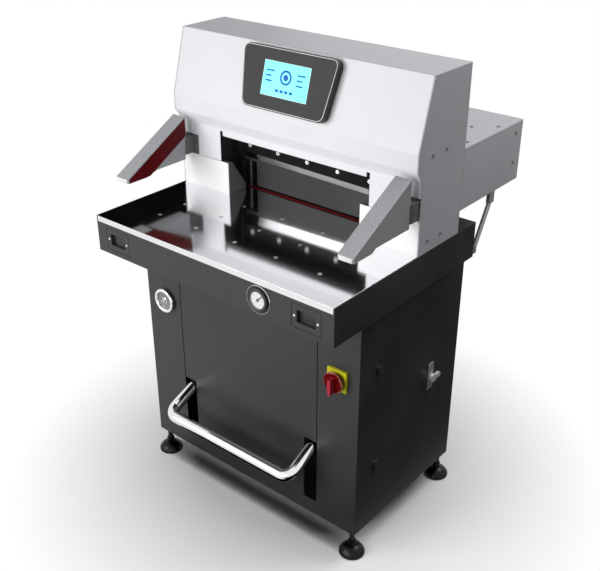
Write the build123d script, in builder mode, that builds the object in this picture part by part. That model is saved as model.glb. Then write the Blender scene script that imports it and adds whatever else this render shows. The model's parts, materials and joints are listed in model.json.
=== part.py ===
from build123d import *
from math import atan2, cos, degrees, hypot, radians, sin, tan
import os

# Automatic paper guillotine with a 520 mm class knife, in millimetres.
# The origin is on the floor, in the middle of the machine's width and depth.
# X runs to the operator's right, Y to the back and Z up.
# Distances called "..._from_front" are measured back from the front edge of the table,
# and heights called "..._rise" are measured up from the top of the table.

# Overall sizes
overall_width = 824.0
table_height = 870.0
head_rise = 450.0
bed_length = 622.0
guard_reach = 838.0
gauge_proud = 8.0

# Sheet, gaps and overruns shared by all pieces
sheet = 3.0
seam = 1.0
panel_seam = 2.5
moving_gap = 0.5
running_clearance = 0.05
overrun = 5.0

# Levelling feet
foot_height = 84.0
foot_inset = 20.0
foot_pad_radius = 37.0
foot_pad_edge = 2.0
foot_pad_rim = 7.0
foot_pad_dome = 22.0
foot_pad_neck_radius = 11.5
foot_pad_neck = 15.0
foot_dome_width_share = 0.62
foot_dome_height_share = 0.62
foot_stud_radius = 8.0
foot_stud_seat = 12.0
foot_nut_radius = 14.0
foot_nut_height = 10.0

# Cabinet
cabinet_inset = 24.0
cabinet_front_from_front = 141.0
base_plate_thickness = 10.0
bed_depth = 104.0
panel_side_margin = 136.0
panel_sill = 48.0
panel_top_margin = 11.0
panel_ledge = 12.0
pedal_slot_width = 43.0
pedal_slot_height = 205.0
door_from_front = 225.0
door_length = 316.0
door_sill = 124.0
door_top_margin = 111.0
hinge_radius = 5.0
hinge_pin_radius = 2.5
hinge_knuckle = 16.0
hinge_height_share = 0.16
lock_from_door_back = 56.0
lock_rise_share = 0.5
lock_lever_length = 34.0
lock_lever_width = 12.0
lock_lever_depth = 10.0
lock_spindle_radius = 6.0
vent_half_width = 260.0
vent_sill = 110.0
vent_height = 440.0
louvre_count = 12
louvre_length = 320.0
louvre_height = 8.0
inlet_radius = 14.0
inlet_rise = 60.0

# Foot pedal
foot_bar_radius = 17.0
foot_bar_bend = 30.0
foot_bar_from_front = 47.0
foot_bar_height = 262.0
pedal_shaft_from_front = 330.0
pedal_shaft_height = 392.0
pedal_shaft_radius = 12.5
pedal_hub_radius = 22.0
pedal_hub_half_width = 19.0
pedal_bearing_thickness = 10.0
pedal_bearing_half_width = 30.0

# Main switch and clamp-pressure handwheel on the front strips of the cabinet
switch_plate_size = 62.0
switch_plate_thickness = 8.0
switch_from_side = 66.5
switch_drop = 193.0
switch_knob_radius = 29.5
switch_knob_depth = 17.0
switch_disc_thickness = 6.0
switch_neck_radius = 20.0
switch_grip_width = 10.0
switch_grip_depth = 15.0
switch_grip_up = 16.0
switch_grip_down = 32.0
switch_grip_tip = 6.0
switch_grip_shoulder = 20.0
switch_spindle_radius = 4.0
wheel_from_side = 74.0
wheel_drop = 186.0
wheel_radius = 32.5
wheel_rim_radius = 5.5
wheel_web = 3.0
wheel_hub_radius = 8.0
wheel_stand_off = 5.0
wheel_spindle_radius = 5.0
valve_half_width = 34.0
valve_depth = 80.0
valve_half_height = 30.0
coil_radius = 14.0
coil_length = 46.0
coil_depth_share = 0.3

# Bed and table
bed_wall = 4.0
bed_floor = 8.0
table_thickness = 16.0
drawer_from_side = 82.0
drawer_width = 90.0
drawer_height = 64.0
drawer_lift = 14.0
drawer_length = 240.0
drawer_wall = 2.0
pull_width = 56.0
pull_height = 33.0
pull_depth = 12.0
runner_width = 16.0
gauge_from_middle = 183.0
gauge_height_in_bed = 48.0
gauge_bezel_radius = 31.5
gauge_flange_radius = 38.0
gauge_flange = 1.5
gauge_face_radius = 27.0
gauge_face_sink = 5.0
gauge_body_radius = 28.0
gauge_body_depth = 34.0
pointer_length = 21.0
pointer_tail = 8.0
pointer_angle = 45.0
pointer_width = 3.0
pointer_thickness = 1.2
pointer_hub_radius = 4.0
nozzle_pitch_x = 140.0
nozzle_pitch_y = 94.5
nozzle_first_from_front = 113.5
nozzle_columns = 5
nozzle_rows = 3
nozzle_radius = 6.0
nozzle_ball_radius = 4.0
nozzle_ball_proud = 1.2
nozzle_depth = 12.0
manifold_depth = 7.0
manifold_border = 24.0

# Cutting line
guide_inner_half_width = 231.0
guide_thickness = 30.7
guide_rise = 94.0
guide_flat = 19.0
guide_low_rise = 15.0
knife_line_from_front = 427.0
guide_back_gap = 19.0
stick_width = 12.0
stick_depth = 12.0
frame_half_gap = 262.0
frame_thickness = 36.0
frame_front_from_front = 345.0
frame_back_from_front = 522.0
frame_below_head_top = 30.0
frame_slope_drop = 70.0
frame_slope_back = 30.0
frame_pocket_depth = 16.0
frame_foot_clearance = 0.5

# Knife, its carrier and its cylinder
knife_half_length = 250.0
knife_thickness = 10.0
knife_height = 112.0
knife_bevel = 24.0
knife_opening = 86.0
knife_edge_gap = 0.5
knife_lean = 12.0
knife_tilt = 1.0
carrier_lip = 8.0
carrier_lip_low = 24.0
carrier_lip_high = 79.0
carrier_web = 32.0
carrier_web_low = 94.0
carrier_top = 152.0
pin_above_edge = 168.0
pin_radius = 7.0
pin_eye_radius = 14.0
pin_eye_thickness = 12.0
knife_bolt_count = 5
knife_bolt_pitch = 104.7
knife_bolt_rise = 46.0
knife_bolt_radius = 4.0
knife_bolt_head_radius = 6.0
knife_bolt_head = 2.0
knife_bolt_recess_radius = 9.0
knife_bolt_recess = 3.5
clevis_ear = 9.0
clevis_half_width = 14.0
knife_rod_radius = 13.0
knife_bore_radius = 24.0
knife_barrel_wall = 6.0
knife_barrel_start = 32.0
knife_barrel_length = 148.0
knife_piston = 20.0
barrel_cap = 12.0
saddle_width = 22.0
saddle_half_span = 44.0

# Clamp, its drawbars and its cylinder
clamp_gap = 1.5
clamp_foot_half_width = 206.0
clamp_foot_depth = 33.0
clamp_rest_rise = 7.0
clamp_foot_height = 73.0
clamp_body_half_width = 256.0
clamp_body_depth = 41.0
clamp_body_height = 120.0
drawbar_radius = 9.0
drawbar_from_middle = 246.0
drawbar_nut_radius = 15.0
drawbar_nut_height = 14.0
yoke_depth_below_bed = 256.0
yoke_height = 40.0
yoke_half_width = 262.0
yoke_thickness = 34.0
clamp_rod_radius = 14.0
clamp_bore_radius = 34.0
clamp_barrel_wall = 7.0
clamp_barrel_length = 170.0
clamp_piston = 22.0
clamp_piston_lift = 10.0
clamp_flange_radius = 56.0
clamp_flange = 14.0

# Crown beam that ties the side frames in the head
crown_front_from_front = 438.0
crown_back_from_front = 516.0
crown_below_frame_top = 8.0
crown_height = 100.0
crown_wall = 12.0

# Hydraulic unit, electrics and blower on the base plate
tank_side_margin = 41.0
tank_width = 260.0
tank_length = 200.0
tank_height = 196.0
tank_wall = 3.0
tank_back_margin = 10.0
motor_radius = 62.0
motor_height = 200.0
motor_end_radius = 48.0
motor_end_height = 22.0
motor_foot = 10.0
control_width = 240.0
control_depth = 150.0
control_height = 330.0
control_lift = 26.0
control_side_margin = 42.0
blower_radius = 85.0
blower_width = 70.0
blower_from_front = 235.0
duct_radius = 24.0
duct_wall = 2.0

# Head covers
column_front_from_front = 336.0
column_back_from_front = 528.0
band_front_from_front = 313.0
head_top_front_from_front = 363.0
band_low_rise = 227.0
band_high_rise = 272.0
apron_top_rise = 194.0
apron_low_rise = 97.0
window_half_width = 258.0
window_rise = 173.0
corner_slot_width = 10.0
corner_slot_height = 13.0
band_round = 14.0
apron_round = 8.0
back_opening_rise = 225.0
screw_radius = 5.5
screw_head = 1.5
panel_screw_front = 374.5
panel_screw_back = 437.0
panel_screw_low = 32.0
panel_screw_high = 256.0
guard_screw_from_end = 38.0
guard_screw_low = 120.0
guard_screw_high = 204.0
guard_edge_from_side = 19.0
guard_edge_front = 569.0
guard_edge_from_end = 107.0
guard_inner_from_side = 74.0
guard_inner_from_end = 153.0

# Rear guard, rear table and back gauge
guard_low_rise = 62.0
guard_high_rise = 234.0
guard_edge_round = 4.0
rear_table_end_margin = 13.0
rear_gusset = 8.0
rear_gusset_from_middle = 210.0
rear_gusset_drop = 70.0
gauge_face_from_front = 560.0
gauge_plate_thickness = 15.0
gauge_plate_half_width = 214.0
gauge_plate_rise = 68.0
gauge_foot_length = 62.0
gauge_foot_height = 14.0
neck_half_width = 9.0
neck_slot_gap = 1.0
carriage_half_width = 82.0
carriage_length = 40.0
carriage_height = 36.0
carriage_drop = 6.0
rail_from_middle = 65.0
rail_radius = 8.0
screw_shaft_radius = 8.0
screw_pitch = 5.0
screw_drop = 32.0
bearing_length = 12.0
front_bearing_from_front = 470.0
rear_bearing_from_end = 28.0
drive_motor_half = 27.0
drive_motor_length = 66.0
drive_opening_half_width = 92.0

# Guard struts
strut_radius = 6.5
strut_from_side = 7.0
strut_top_from_front = 703.0
strut_top_drop = 27.0
strut_foot_from_bed = 14.0
strut_foot_drop = 87.0
strut_eye = 12.0
clevis_plate = 2.5
clevis_reach = 24.0

# Display
display_top_width = 314.0
display_low_width = 272.0
display_above_screen = 78.5
display_below_screen = 82.5
display_depth = 22.0
display_corner = 22.0
display_edge = 2.0
display_up_slope = 100.3
screen_width = 152.0
screen_height = 88.0
screen_sink = 1.5
screen_thickness = 6.0

# Light-barrier arms
arm_from_side = 54.0
arm_thickness = 47.0
arm_root_from_front = 300.0
arm_root_rise = 215.0
arm_tip_from_front = 76.0
arm_tip_rise = 92.0
arm_nose_from_front = 80.0
arm_nose_low_rise = 79.0
arm_nose_back_from_front = 148.0
arm_belly_from_front = 162.0
arm_belly_rise = 88.0
window_sheet = 2.0
window_border = 1.5
window_band = 56.0
web_recess = 6.0
web_drop = 60.0
bracket_from_side = 48.0
bracket_width = 44.0
bracket_low_rise = 101.0
bracket_height = 50.0
notch_from_side = 66.0
notch_rise = 155.0
bracket_flange = 4.0
bracket_flange_margin = 12.0

# Places worked out from the sizes above
table_front_y = (gauge_proud - guard_reach) / 2
half_width = overall_width / 2
cabinet_half_width = half_width - cabinet_inset
arm_from_middle = half_width - arm_from_side
bracket_from_middle = half_width - bracket_from_side
notch_from_middle = half_width - notch_from_side
panel_half_width = cabinet_half_width - panel_side_margin
bed_bottom = table_height - bed_depth
base_top = foot_height + base_plate_thickness
table_under = table_height - table_thickness
bed_floor_top = bed_bottom + bed_floor


def back(distance):
    """Y of a place that lies this far behind the table's front edge."""
    return table_front_y + distance


def above(rise):
    """Z of a place that lies this far above the table's top."""
    return table_height + rise


def both(half):
    """A span from minus half to plus half."""
    return (-half, half)


def around(middle, half):
    """A span of the given half length around a middle."""
    return (middle - half, middle + half)


def plane_at(axis, start, frame=Plane.XY):
    """The plane square to an axis of the frame, at the given place along it."""
    planes = {"X": Plane.YZ.offset(start), "Y": Plane.XZ.offset(-start), "Z": Plane.XY.offset(start)}
    return Plane(frame.location * planes[axis].location)


def run_along(axis, span):
    """The signed extrusion length that covers a span along an axis."""
    return (span[0] - span[1]) if axis == "Y" else (span[1] - span[0])


def block(x_span, y_span, z_span, mode=Mode.ADD):
    """A rectangular block between two places on each axis."""
    sizes = [span[1] - span[0] for span in (x_span, y_span, z_span)]
    with Locations((x_span[0], y_span[0], z_span[0])):
        Box(*sizes, align=(Align.MIN, Align.MIN, Align.MIN), mode=mode)


def bars(axis, points, radius, span, mode=Mode.ADD, frame=Plane.XY):
    """Round bars along an axis, through points given on the other two axes."""
    with BuildSketch(plane_at(axis, span[0], frame)) as discs:
        with Locations(*points):
            Circle(radius)
    extrude(to_extrude=discs.sketch, amount=run_along(axis, span), mode=mode)


def prism(axis, points, span, mode=Mode.ADD, frame=Plane.XY):
    """A prism along an axis, over an outline given on the other two axes."""
    with BuildSketch(plane_at(axis, span[0], frame)) as outline:
        with BuildLine():
            Polyline(*points, close=True)
        make_face()
    extrude(to_extrude=outline.sketch, amount=run_along(axis, span), mode=mode)


os.makedirs("parts", exist_ok=True)

# Levelling feet: domed pads, threaded studs and their nuts
foot_x = cabinet_half_width - foot_inset
foot_front_y = back(cabinet_front_from_front + foot_inset)
foot_back_y = back(bed_length - foot_inset)
foot_points = [(side * foot_x, y) for side in (-1, 1) for y in (foot_front_y, foot_back_y)]
pad_dome_top = foot_pad_rim + foot_pad_dome
pad_top = pad_dome_top + foot_pad_neck
dome_radius = foot_pad_neck_radius + (foot_pad_radius - foot_pad_neck_radius) * foot_dome_width_share
dome_point = (dome_radius, foot_pad_rim + foot_pad_dome * foot_dome_height_share)
stud_bottom = pad_top - foot_stud_seat

with BuildPart() as foot_pads:
    for x, y in foot_points:
        with BuildSketch(Plane(origin=(x, y, 0), x_dir=(1, 0, 0), z_dir=(0, -1, 0))):
            with BuildLine():
                Polyline((foot_pad_neck_radius, pad_dome_top), (foot_pad_neck_radius, pad_top), (0, pad_top),
                         (0, 0), (foot_pad_radius - foot_pad_edge, 0), (foot_pad_radius, foot_pad_edge),
                         (foot_pad_radius, foot_pad_rim))
                ThreePointArc((foot_pad_radius, foot_pad_rim), dome_point, (foot_pad_neck_radius, pad_dome_top))
            make_face()
        revolve(axis=Axis((x, y, 0), (0, 0, 1)))
    bars("Z", foot_points, foot_stud_radius + running_clearance, (stud_bottom, pad_top), Mode.SUBTRACT)
foot_pads.part.label = "foot_pads"
export_step(foot_pads.part, "parts/foot_pads.step")

nut_spans = [(foot_height - foot_nut_height, foot_height), (base_top, base_top + foot_nut_height)]
stud_top = base_top + foot_nut_height + foot_stud_radius
with BuildPart() as foot_studs:
    bars("Z", foot_points, foot_stud_radius, (stud_bottom, stud_top))
    for low, high in nut_spans:
        with BuildSketch(Plane.XY.offset(low)):
            with Locations(*foot_points):
                RegularPolygon(foot_nut_radius, 6)
        extrude(amount=high - low)
foot_studs.part.label = "foot_studs"
export_step(foot_studs.part, "parts/foot_studs.step")

# Cabinet: base plate, folded shell, front access panel and rear vent panel
cabinet_y = (back(cabinet_front_from_front), back(bed_length))
inner_y = (cabinet_y[0] + sheet, cabinet_y[1] - sheet)
inner_half_width = cabinet_half_width - sheet

with BuildPart() as base_plate:
    block(both(inner_half_width), inner_y, (foot_height, base_top))
    bars("Z", foot_points, foot_stud_radius + running_clearance,
         (foot_height - overrun, base_top + overrun), Mode.SUBTRACT)
base_plate.part.label = "base_plate"
export_step(base_plate.part, "parts/base_plate.step")

panel_low = foot_height + panel_sill
panel_high = bed_bottom - panel_top_margin
slot_top = panel_low + pedal_slot_height
slot_inner_x = panel_half_width - pedal_slot_width
arm_x = panel_half_width - pedal_slot_width / 2
door_y = (back(door_from_front), back(door_from_front + door_length))
door_z = (foot_height + door_sill, bed_bottom - door_top_margin)
door_height = door_z[1] - door_z[0]
vent_z = (foot_height + vent_sill, foot_height + vent_sill + vent_height)
inlet_z = foot_height + inlet_rise
wheel_x = wheel_from_side - cabinet_half_width
wheel_height = bed_bottom - wheel_drop
switch_x = cabinet_half_width - switch_from_side
switch_height = bed_bottom - switch_drop

with BuildPart() as cabinet_shell:
    block(both(cabinet_half_width), cabinet_y, (foot_height, bed_bottom))
    block(both(inner_half_width), inner_y, (foot_height - overrun, bed_bottom + overrun), Mode.SUBTRACT)
    # Front opening with a ledge behind the panel's sides and top
    opening_half = panel_half_width + panel_seam
    block(both(opening_half), (cabinet_y[0] - overrun, inner_y[0]), (panel_low - panel_seam, panel_high + panel_seam),
          Mode.SUBTRACT)
    for side in (-1, 1):
        ledge_x = sorted((side * (opening_half - panel_ledge), side * (opening_half + panel_ledge)))
        block(ledge_x, (inner_y[0], inner_y[0] + sheet), (slot_top, bed_bottom))
    block(both(opening_half + panel_ledge), (inner_y[0], inner_y[0] + sheet),
          (panel_high - panel_ledge, bed_bottom))
    block(both(slot_inner_x), (inner_y[0], inner_y[0] + sheet), (base_top, panel_low + panel_ledge))
    # Side door opening with a ledge behind the door's back, top and bottom edges
    opening_y = (door_y[0] - seam, door_y[1] + seam)
    opening_z = (door_z[0] - seam, door_z[1] + seam)
    block((inner_half_width, cabinet_half_width + overrun), opening_y, opening_z, Mode.SUBTRACT)
    ledge_x = (inner_half_width - sheet, inner_half_width)
    ledge_y = (opening_y[1] - panel_ledge, opening_y[1] + panel_ledge)
    block(ledge_x, ledge_y, (opening_z[0] - panel_ledge, opening_z[1] + panel_ledge))
    for edge_z in opening_z:
        block(ledge_x, (opening_y[0] + panel_ledge, ledge_y[1]), around(edge_z, panel_ledge))
    # Rear opening under the vent panel, the inlet and the holes of the switch and the handwheel
    block(both(vent_half_width - panel_ledge), (inner_y[1], cabinet_y[1] + overrun),
          (vent_z[0] + panel_ledge, vent_z[1] - panel_ledge), Mode.SUBTRACT)
    rear_wall_y = (inner_y[1] - overrun, cabinet_y[1] + overrun)
    bars("Y", [(-vent_half_width, inlet_z)], inlet_radius, rear_wall_y, Mode.SUBTRACT)
    front_wall_y = (cabinet_y[0] - overrun, inner_y[0] + overrun)
    bars("Y", [(switch_x, switch_height)], switch_spindle_radius + moving_gap, front_wall_y, Mode.SUBTRACT)
    bars("Y", [(wheel_x, wheel_height)], wheel_spindle_radius + moving_gap, front_wall_y, Mode.SUBTRACT)
cabinet_shell.part.label = "cabinet_shell"
export_step(cabinet_shell.part, "parts/cabinet_shell.step")

with BuildPart() as front_access_panel:
    block(both(panel_half_width), (cabinet_y[0], inner_y[0]), (panel_low, panel_high))
    for side in (-1, 1):
        slot_x = sorted((side * slot_inner_x, side * (panel_half_width + overrun)))
        block(slot_x, front_wall_y, (panel_low - overrun, slot_top), Mode.SUBTRACT)
front_access_panel.part.label = "front_access_panel"
export_step(front_access_panel.part, "parts/front_access_panel.step")

with BuildPart() as rear_vent_panel:
    block(both(vent_half_width), (cabinet_y[1], cabinet_y[1] + sheet), vent_z)
    louvre_pitch = vent_height / (louvre_count + 1)
    with BuildSketch(plane_at("Y", cabinet_y[1] - overrun)) as louvres:
        with Locations((0, sum(vent_z) / 2)):
            with GridLocations(0, louvre_pitch, 1, louvre_count):
                SlotOverall(louvre_length, louvre_height)
    extrude(to_extrude=louvres.sketch, amount=-(sheet + 2 * overrun), mode=Mode.SUBTRACT)
rear_vent_panel.part.label = "rear_vent_panel"
export_step(rear_vent_panel.part, "parts/rear_vent_panel.step")

# Side door on two knuckle hinges, with its key lever
hinge_x = cabinet_half_width + hinge_radius
hinge_y = door_y[0] - seam / 2
hinge_heights = [door_z[0] + door_height * share for share in (hinge_height_share, 1 - hinge_height_share)]
lock_y = door_y[1] - lock_from_door_back
lock_z = door_z[0] + door_height * lock_rise_share
lock_face_x = cabinet_half_width + sheet
knuckle_gap = moving_gap / 2

with BuildPart() as side_door:
    block((inner_half_width, cabinet_half_width), door_y, door_z)
    block((inner_half_width - sheet, inner_half_width),
          (door_y[0] + panel_ledge, door_y[1] - panel_ledge),
          (door_z[0] + 2 * panel_ledge, door_z[1] - 2 * panel_ledge))
    block((inner_half_width - sheet - overrun, inner_half_width),
          (door_y[0] + 2 * panel_ledge, door_y[1] - 2 * panel_ledge),
          (door_z[0] + 3 * panel_ledge, door_z[1] - 3 * panel_ledge), Mode.SUBTRACT)
    for height in hinge_heights:
        leaf_z = around(height, hinge_knuckle / 2 - knuckle_gap)
        bars("Z", [(hinge_x, hinge_y)], hinge_radius, leaf_z)
        block((cabinet_half_width, hinge_x), (hinge_y, hinge_y + 2 * hinge_radius), leaf_z)
        bars("Z", [(hinge_x, hinge_y)], hinge_pin_radius + running_clearance, leaf_z, Mode.SUBTRACT)
    # The door's own skin stands clear of the shell at the hinges
    bars("X", [(lock_y, lock_z)], lock_spindle_radius + running_clearance,
         (inner_half_width - sheet - overrun, cabinet_half_width + overrun), Mode.SUBTRACT)
side_door.part.label = "side_door"
export_step(side_door.part, "parts/side_door.step")

with BuildPart() as door_hinge_pins:
    for height in hinge_heights:
        for end in (-1, 1):
            knuckle_z = sorted((height + end * hinge_knuckle / 2, height + end * hinge_knuckle))
            bars("Z", [(hinge_x, hinge_y)], hinge_radius, knuckle_z)
            block((cabinet_half_width, hinge_x), (hinge_y - 2 * hinge_radius, hinge_y), knuckle_z)
        bars("Z", [(hinge_x, hinge_y)], hinge_pin_radius, around(height, hinge_knuckle))
door_hinge_pins.part.label = "door_hinge_pins"
export_step(door_hinge_pins.part, "parts/door_hinge_pins.step")

lever_x = (lock_face_x + moving_gap, lock_face_x + moving_gap + lock_lever_depth)
with BuildPart() as door_handle:
    bars("X", [(lock_y, lock_z)], lock_lever_width, lever_x)
    block(lever_x, (lock_y, lock_y + lock_lever_length), around(lock_z, lock_lever_width / 2))
    fillet(door_handle.edges().filter_by(Axis.X), radius=lock_lever_width / 5)
    bars("X", [(lock_y, lock_z)], lock_spindle_radius, (inner_half_width - sheet, lever_x[0]))
    # The tongue inside the door
    tongue_x = (inner_half_width - 2 * sheet - moving_gap, inner_half_width - sheet - moving_gap)
    bars("X", [(lock_y, lock_z)], lock_spindle_radius, (tongue_x[0], inner_half_width))
    block(tongue_x, around(lock_y, lock_spindle_radius), (lock_z - lock_lever_length, lock_z))
door_handle.part.label = "door_handle"
export_step(door_handle.part, "parts/door_handle.step")

# Foot pedal: a chrome bar bent to a U, two hubs, a shaft and its two bearings
shaft_y = back(pedal_shaft_from_front)
pedal_reach = hypot(pedal_shaft_from_front - foot_bar_from_front, pedal_shaft_height - foot_bar_height)
pedal_slope = atan2(pedal_shaft_height - foot_bar_height, pedal_shaft_from_front - foot_bar_from_front)
pedal_plane = Plane(origin=(0, shaft_y, pedal_shaft_height), x_dir=(1, 0, 0),
                    z_dir=(0, -sin(pedal_slope), cos(pedal_slope)))
hub_spans = [around(side * arm_x, pedal_hub_half_width) for side in (-1, 1)]

with BuildPart() as foot_bar:
    with BuildLine(pedal_plane) as bar_path:
        FilletPolyline((-arm_x, 0), (-arm_x, -pedal_reach), (arm_x, -pedal_reach), (arm_x, 0),
                       radius=foot_bar_bend)
    start_plane = Plane(origin=bar_path.line @ 0, z_dir=bar_path.line % 0)
    with BuildSketch(start_plane):
        Circle(foot_bar_radius)
    sweep()
    for span in hub_spans:
        bars("X", [(shaft_y, pedal_shaft_height)], pedal_hub_radius, span)
    bars("X", [(shaft_y, pedal_shaft_height)], pedal_shaft_radius + running_clearance,
         both(arm_x + pedal_hub_half_width + overrun), Mode.SUBTRACT)
foot_bar.part.label = "foot_bar"
export_step(foot_bar.part, "parts/foot_bar.step")

bearing_inner_x = arm_x + pedal_hub_half_width + moving_gap
bearing_outer_x = bearing_inner_x + pedal_bearing_thickness
with BuildPart() as pedal_shaft:
    bars("X", [(shaft_y, pedal_shaft_height)], pedal_shaft_radius, both(bearing_outer_x + overrun))
pedal_shaft.part.label = "pedal_shaft"
export_step(pedal_shaft.part, "parts/pedal_shaft.step")

with BuildPart() as pedal_bearings:
    half = pedal_bearing_half_width
    for side in (-1, 1):
        plate_x = sorted((side * bearing_inner_x, side * bearing_outer_x))
        block(plate_x, around(shaft_y, half), (base_top, pedal_shaft_height))
        bars("X", [(shaft_y, pedal_shaft_height)], half, plate_x)
        foot_x_span = sorted((side * bearing_inner_x, side * (bearing_outer_x + half)))
        block(foot_x_span, around(shaft_y, half), (base_top, base_top + base_plate_thickness))
    bars("X", [(shaft_y, pedal_shaft_height)], pedal_shaft_radius + running_clearance,
         both(bearing_outer_x + overrun), Mode.SUBTRACT)
pedal_bearings.part.label = "pedal_bearings"
export_step(pedal_bearings.part, "parts/pedal_bearings.step")

# Main switch on the right front strip
plate_y = (cabinet_y[0] - switch_plate_thickness, cabinet_y[0])
with BuildPart() as switch_plate:
    with BuildSketch(plane_at("Y", plate_y[0])):
        with Locations((switch_x, switch_height)):
            RectangleRounded(switch_plate_size, switch_plate_size, sheet)
            Circle(switch_spindle_radius + running_clearance, mode=Mode.SUBTRACT)
    extrude(amount=-switch_plate_thickness)
    chamfer(switch_plate.faces().sort_by(Axis.Y)[0].outer_wire().edges(), length=seam)
switch_plate.part.label = "switch_plate"
export_step(switch_plate.part, "parts/switch_plate.step")

knob_back_y = plate_y[0] - moving_gap
knob_face_y = knob_back_y - switch_knob_depth
grip_face_y = knob_face_y - switch_grip_depth
with BuildPart() as switch_knob:
    bars("Y", [(switch_x, switch_height)], switch_knob_radius, (knob_face_y, knob_face_y + switch_disc_thickness))
    chamfer(switch_knob.faces().sort_by(Axis.Y)[0].edges(), length=sheet / 2)
    bars("Y", [(switch_x, switch_height)], switch_neck_radius, (knob_face_y + sheet, knob_back_y))
    grip_half, tip_half = switch_grip_width / 2, switch_grip_tip / 2
    grip_outline = [(switch_x - grip_half, switch_height + switch_grip_up),
                    (switch_x + grip_half, switch_height + switch_grip_up),
                    (switch_x + grip_half, switch_height - switch_grip_shoulder),
                    (switch_x + tip_half, switch_height - switch_grip_down),
                    (switch_x - tip_half, switch_height - switch_grip_down),
                    (switch_x - grip_half, switch_height - switch_grip_shoulder)]
    prism("Y", grip_outline, (grip_face_y, knob_face_y + sheet))
    bars("Y", [(switch_x, switch_height)], switch_spindle_radius, (knob_back_y, inner_y[0] + overrun))
switch_knob.part.label = "switch_knob"
export_step(switch_knob.part, "parts/switch_knob.step")

# Clamp-pressure handwheel on the left front strip, and the valve block behind it
wheel_y = cabinet_y[0] - wheel_stand_off
wheel_axis = Axis((wheel_x, 0, wheel_height), (0, 1, 0))
with BuildPart() as pressure_handwheel:
    with BuildSketch(Plane(origin=(wheel_x, wheel_y, wheel_height), x_dir=(1, 0, 0), z_dir=(0, -1, 0))):
        Circle(wheel_radius)
    extrude(amount=wheel_web)
    with BuildSketch(Plane(origin=(wheel_x, wheel_y - wheel_rim_radius / 2, wheel_height), x_dir=(0, 1, 0),
                           z_dir=(1, 0, 0))) as rim_section:
        with Locations((0, wheel_radius)):
            Circle(wheel_rim_radius)
    revolve(axis=wheel_axis)
    bars("Y", [(wheel_x, wheel_height)], wheel_hub_radius, (wheel_y - 2 * wheel_web, wheel_y))
    bars("Y", [(wheel_x, wheel_height)], wheel_spindle_radius, (wheel_y, inner_y[0] + valve_depth / 2))
pressure_handwheel.part.label = "pressure_handwheel"
export_step(pressure_handwheel.part, "parts/pressure_handwheel.step")

with BuildPart() as valve_block:
    valve_z = around(wheel_height, valve_half_height)
    block(around(wheel_x, valve_half_width), (inner_y[0], inner_y[0] + valve_depth), valve_z)
    bars("Y", [(wheel_x, wheel_height)], wheel_spindle_radius + running_clearance,
         (inner_y[0] - overrun, inner_y[0] + valve_depth / 2 + moving_gap), Mode.SUBTRACT)
    coil_ys = [inner_y[0] + valve_depth * share for share in (coil_depth_share, 1 - coil_depth_share)]
    bars("Z", [(wheel_x, y) for y in coil_ys], coil_radius, (valve_z[1], valve_z[1] + coil_length))
valve_block.part.label = "valve_block"
export_step(valve_block.part, "parts/valve_block.step")

# Bed: the box that carries the table, the side frames and the drawers
drawer_x = half_width - drawer_from_side
drawer_z = (bed_bottom + drawer_lift, bed_bottom + drawer_lift + drawer_height)
gauge_x = gauge_from_middle
gauge_z = bed_bottom + gauge_height_in_bed
bed_y = (back(0), back(bed_length))
column_y = (back(column_front_from_front), back(column_back_from_front))
frame_y = (back(frame_front_from_front), back(frame_back_from_front))
frame_x = (frame_half_gap, frame_half_gap + frame_thickness)
knife_y = back(knife_line_from_front)
clamp_front_y = knife_y + clamp_gap
drawbar_y = clamp_front_y + clamp_body_depth / 2
deck_x = frame_half_gap
runner_x = drawer_width / 2 - runner_width
drawer_floor = drawer_z[0] + seam

with BuildPart() as table_frame:
    block(both(half_width), bed_y, (bed_bottom, table_height))
    block(both(half_width - bed_wall), (bed_y[0] + bed_wall, bed_y[1] - bed_wall),
          (bed_floor_top, table_height + overrun), Mode.SUBTRACT)
    # The table's front edge shows above the apron
    block(both(half_width - bed_wall), (bed_y[0] - overrun, bed_y[0] + 2 * bed_wall),
          (table_under, table_height + overrun), Mode.SUBTRACT)
    # The table runs out over the rear wall between the side frames
    block(both(deck_x), (bed_y[1] - 2 * bed_wall, bed_y[1] + overrun), (table_under, table_height + overrun),
          Mode.SUBTRACT)
    # Black deck outside the side frames
    for side in (-1, 1):
        deck_span = sorted((side * (deck_x + frame_foot_clearance), side * (half_width - bed_wall)))
        block(deck_span, (column_y[0] + 2 * sheet, bed_y[1] - bed_wall), (table_height - sheet, table_height))
        runner_spans = [around(side * drawer_x + edge * runner_x, runner_width / 2) for edge in (-1, 1)]
        for span in runner_spans:
            block(span, (bed_y[0] + bed_wall, bed_y[0] + drawer_length), (bed_floor_top, drawer_floor - moving_gap))
        # Room in the deck for the foot of the side frame
        frame_room = sorted((side * deck_x, side * (frame_x[1] + frame_foot_clearance)))
        block(frame_room, (frame_y[0] - frame_foot_clearance, frame_y[1] + frame_foot_clearance),
              (table_height - 2 * sheet, table_height + overrun), Mode.SUBTRACT)
        # Drawer opening
        block(around(side * drawer_x, drawer_width / 2), (bed_y[0] - overrun, bed_y[0] + bed_wall), drawer_z,
              Mode.SUBTRACT)
    bars("Y", [(gauge_x, gauge_z)], gauge_body_radius + moving_gap, (bed_y[0] - overrun, bed_y[0] + 2 * bed_wall),
         Mode.SUBTRACT)
    # Floor openings for the air duct and the drawbars, and the rear opening for the gauge drive
    bars("Z", [(0, back(blower_from_front))], duct_radius + moving_gap,
         (bed_bottom - overrun, bed_floor_top + overrun), Mode.SUBTRACT)
    bars("Z", [(side * drawbar_from_middle, drawbar_y) for side in (-1, 1)], drawbar_radius + moving_gap,
         (bed_bottom - overrun, bed_floor_top + overrun), Mode.SUBTRACT)
    block(both(drive_opening_half_width), (bed_y[1] - 2 * bed_wall, bed_y[1] + overrun),
          (bed_floor_top, table_under + overrun), Mode.SUBTRACT)
table_frame.part.label = "table_frame"
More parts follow.
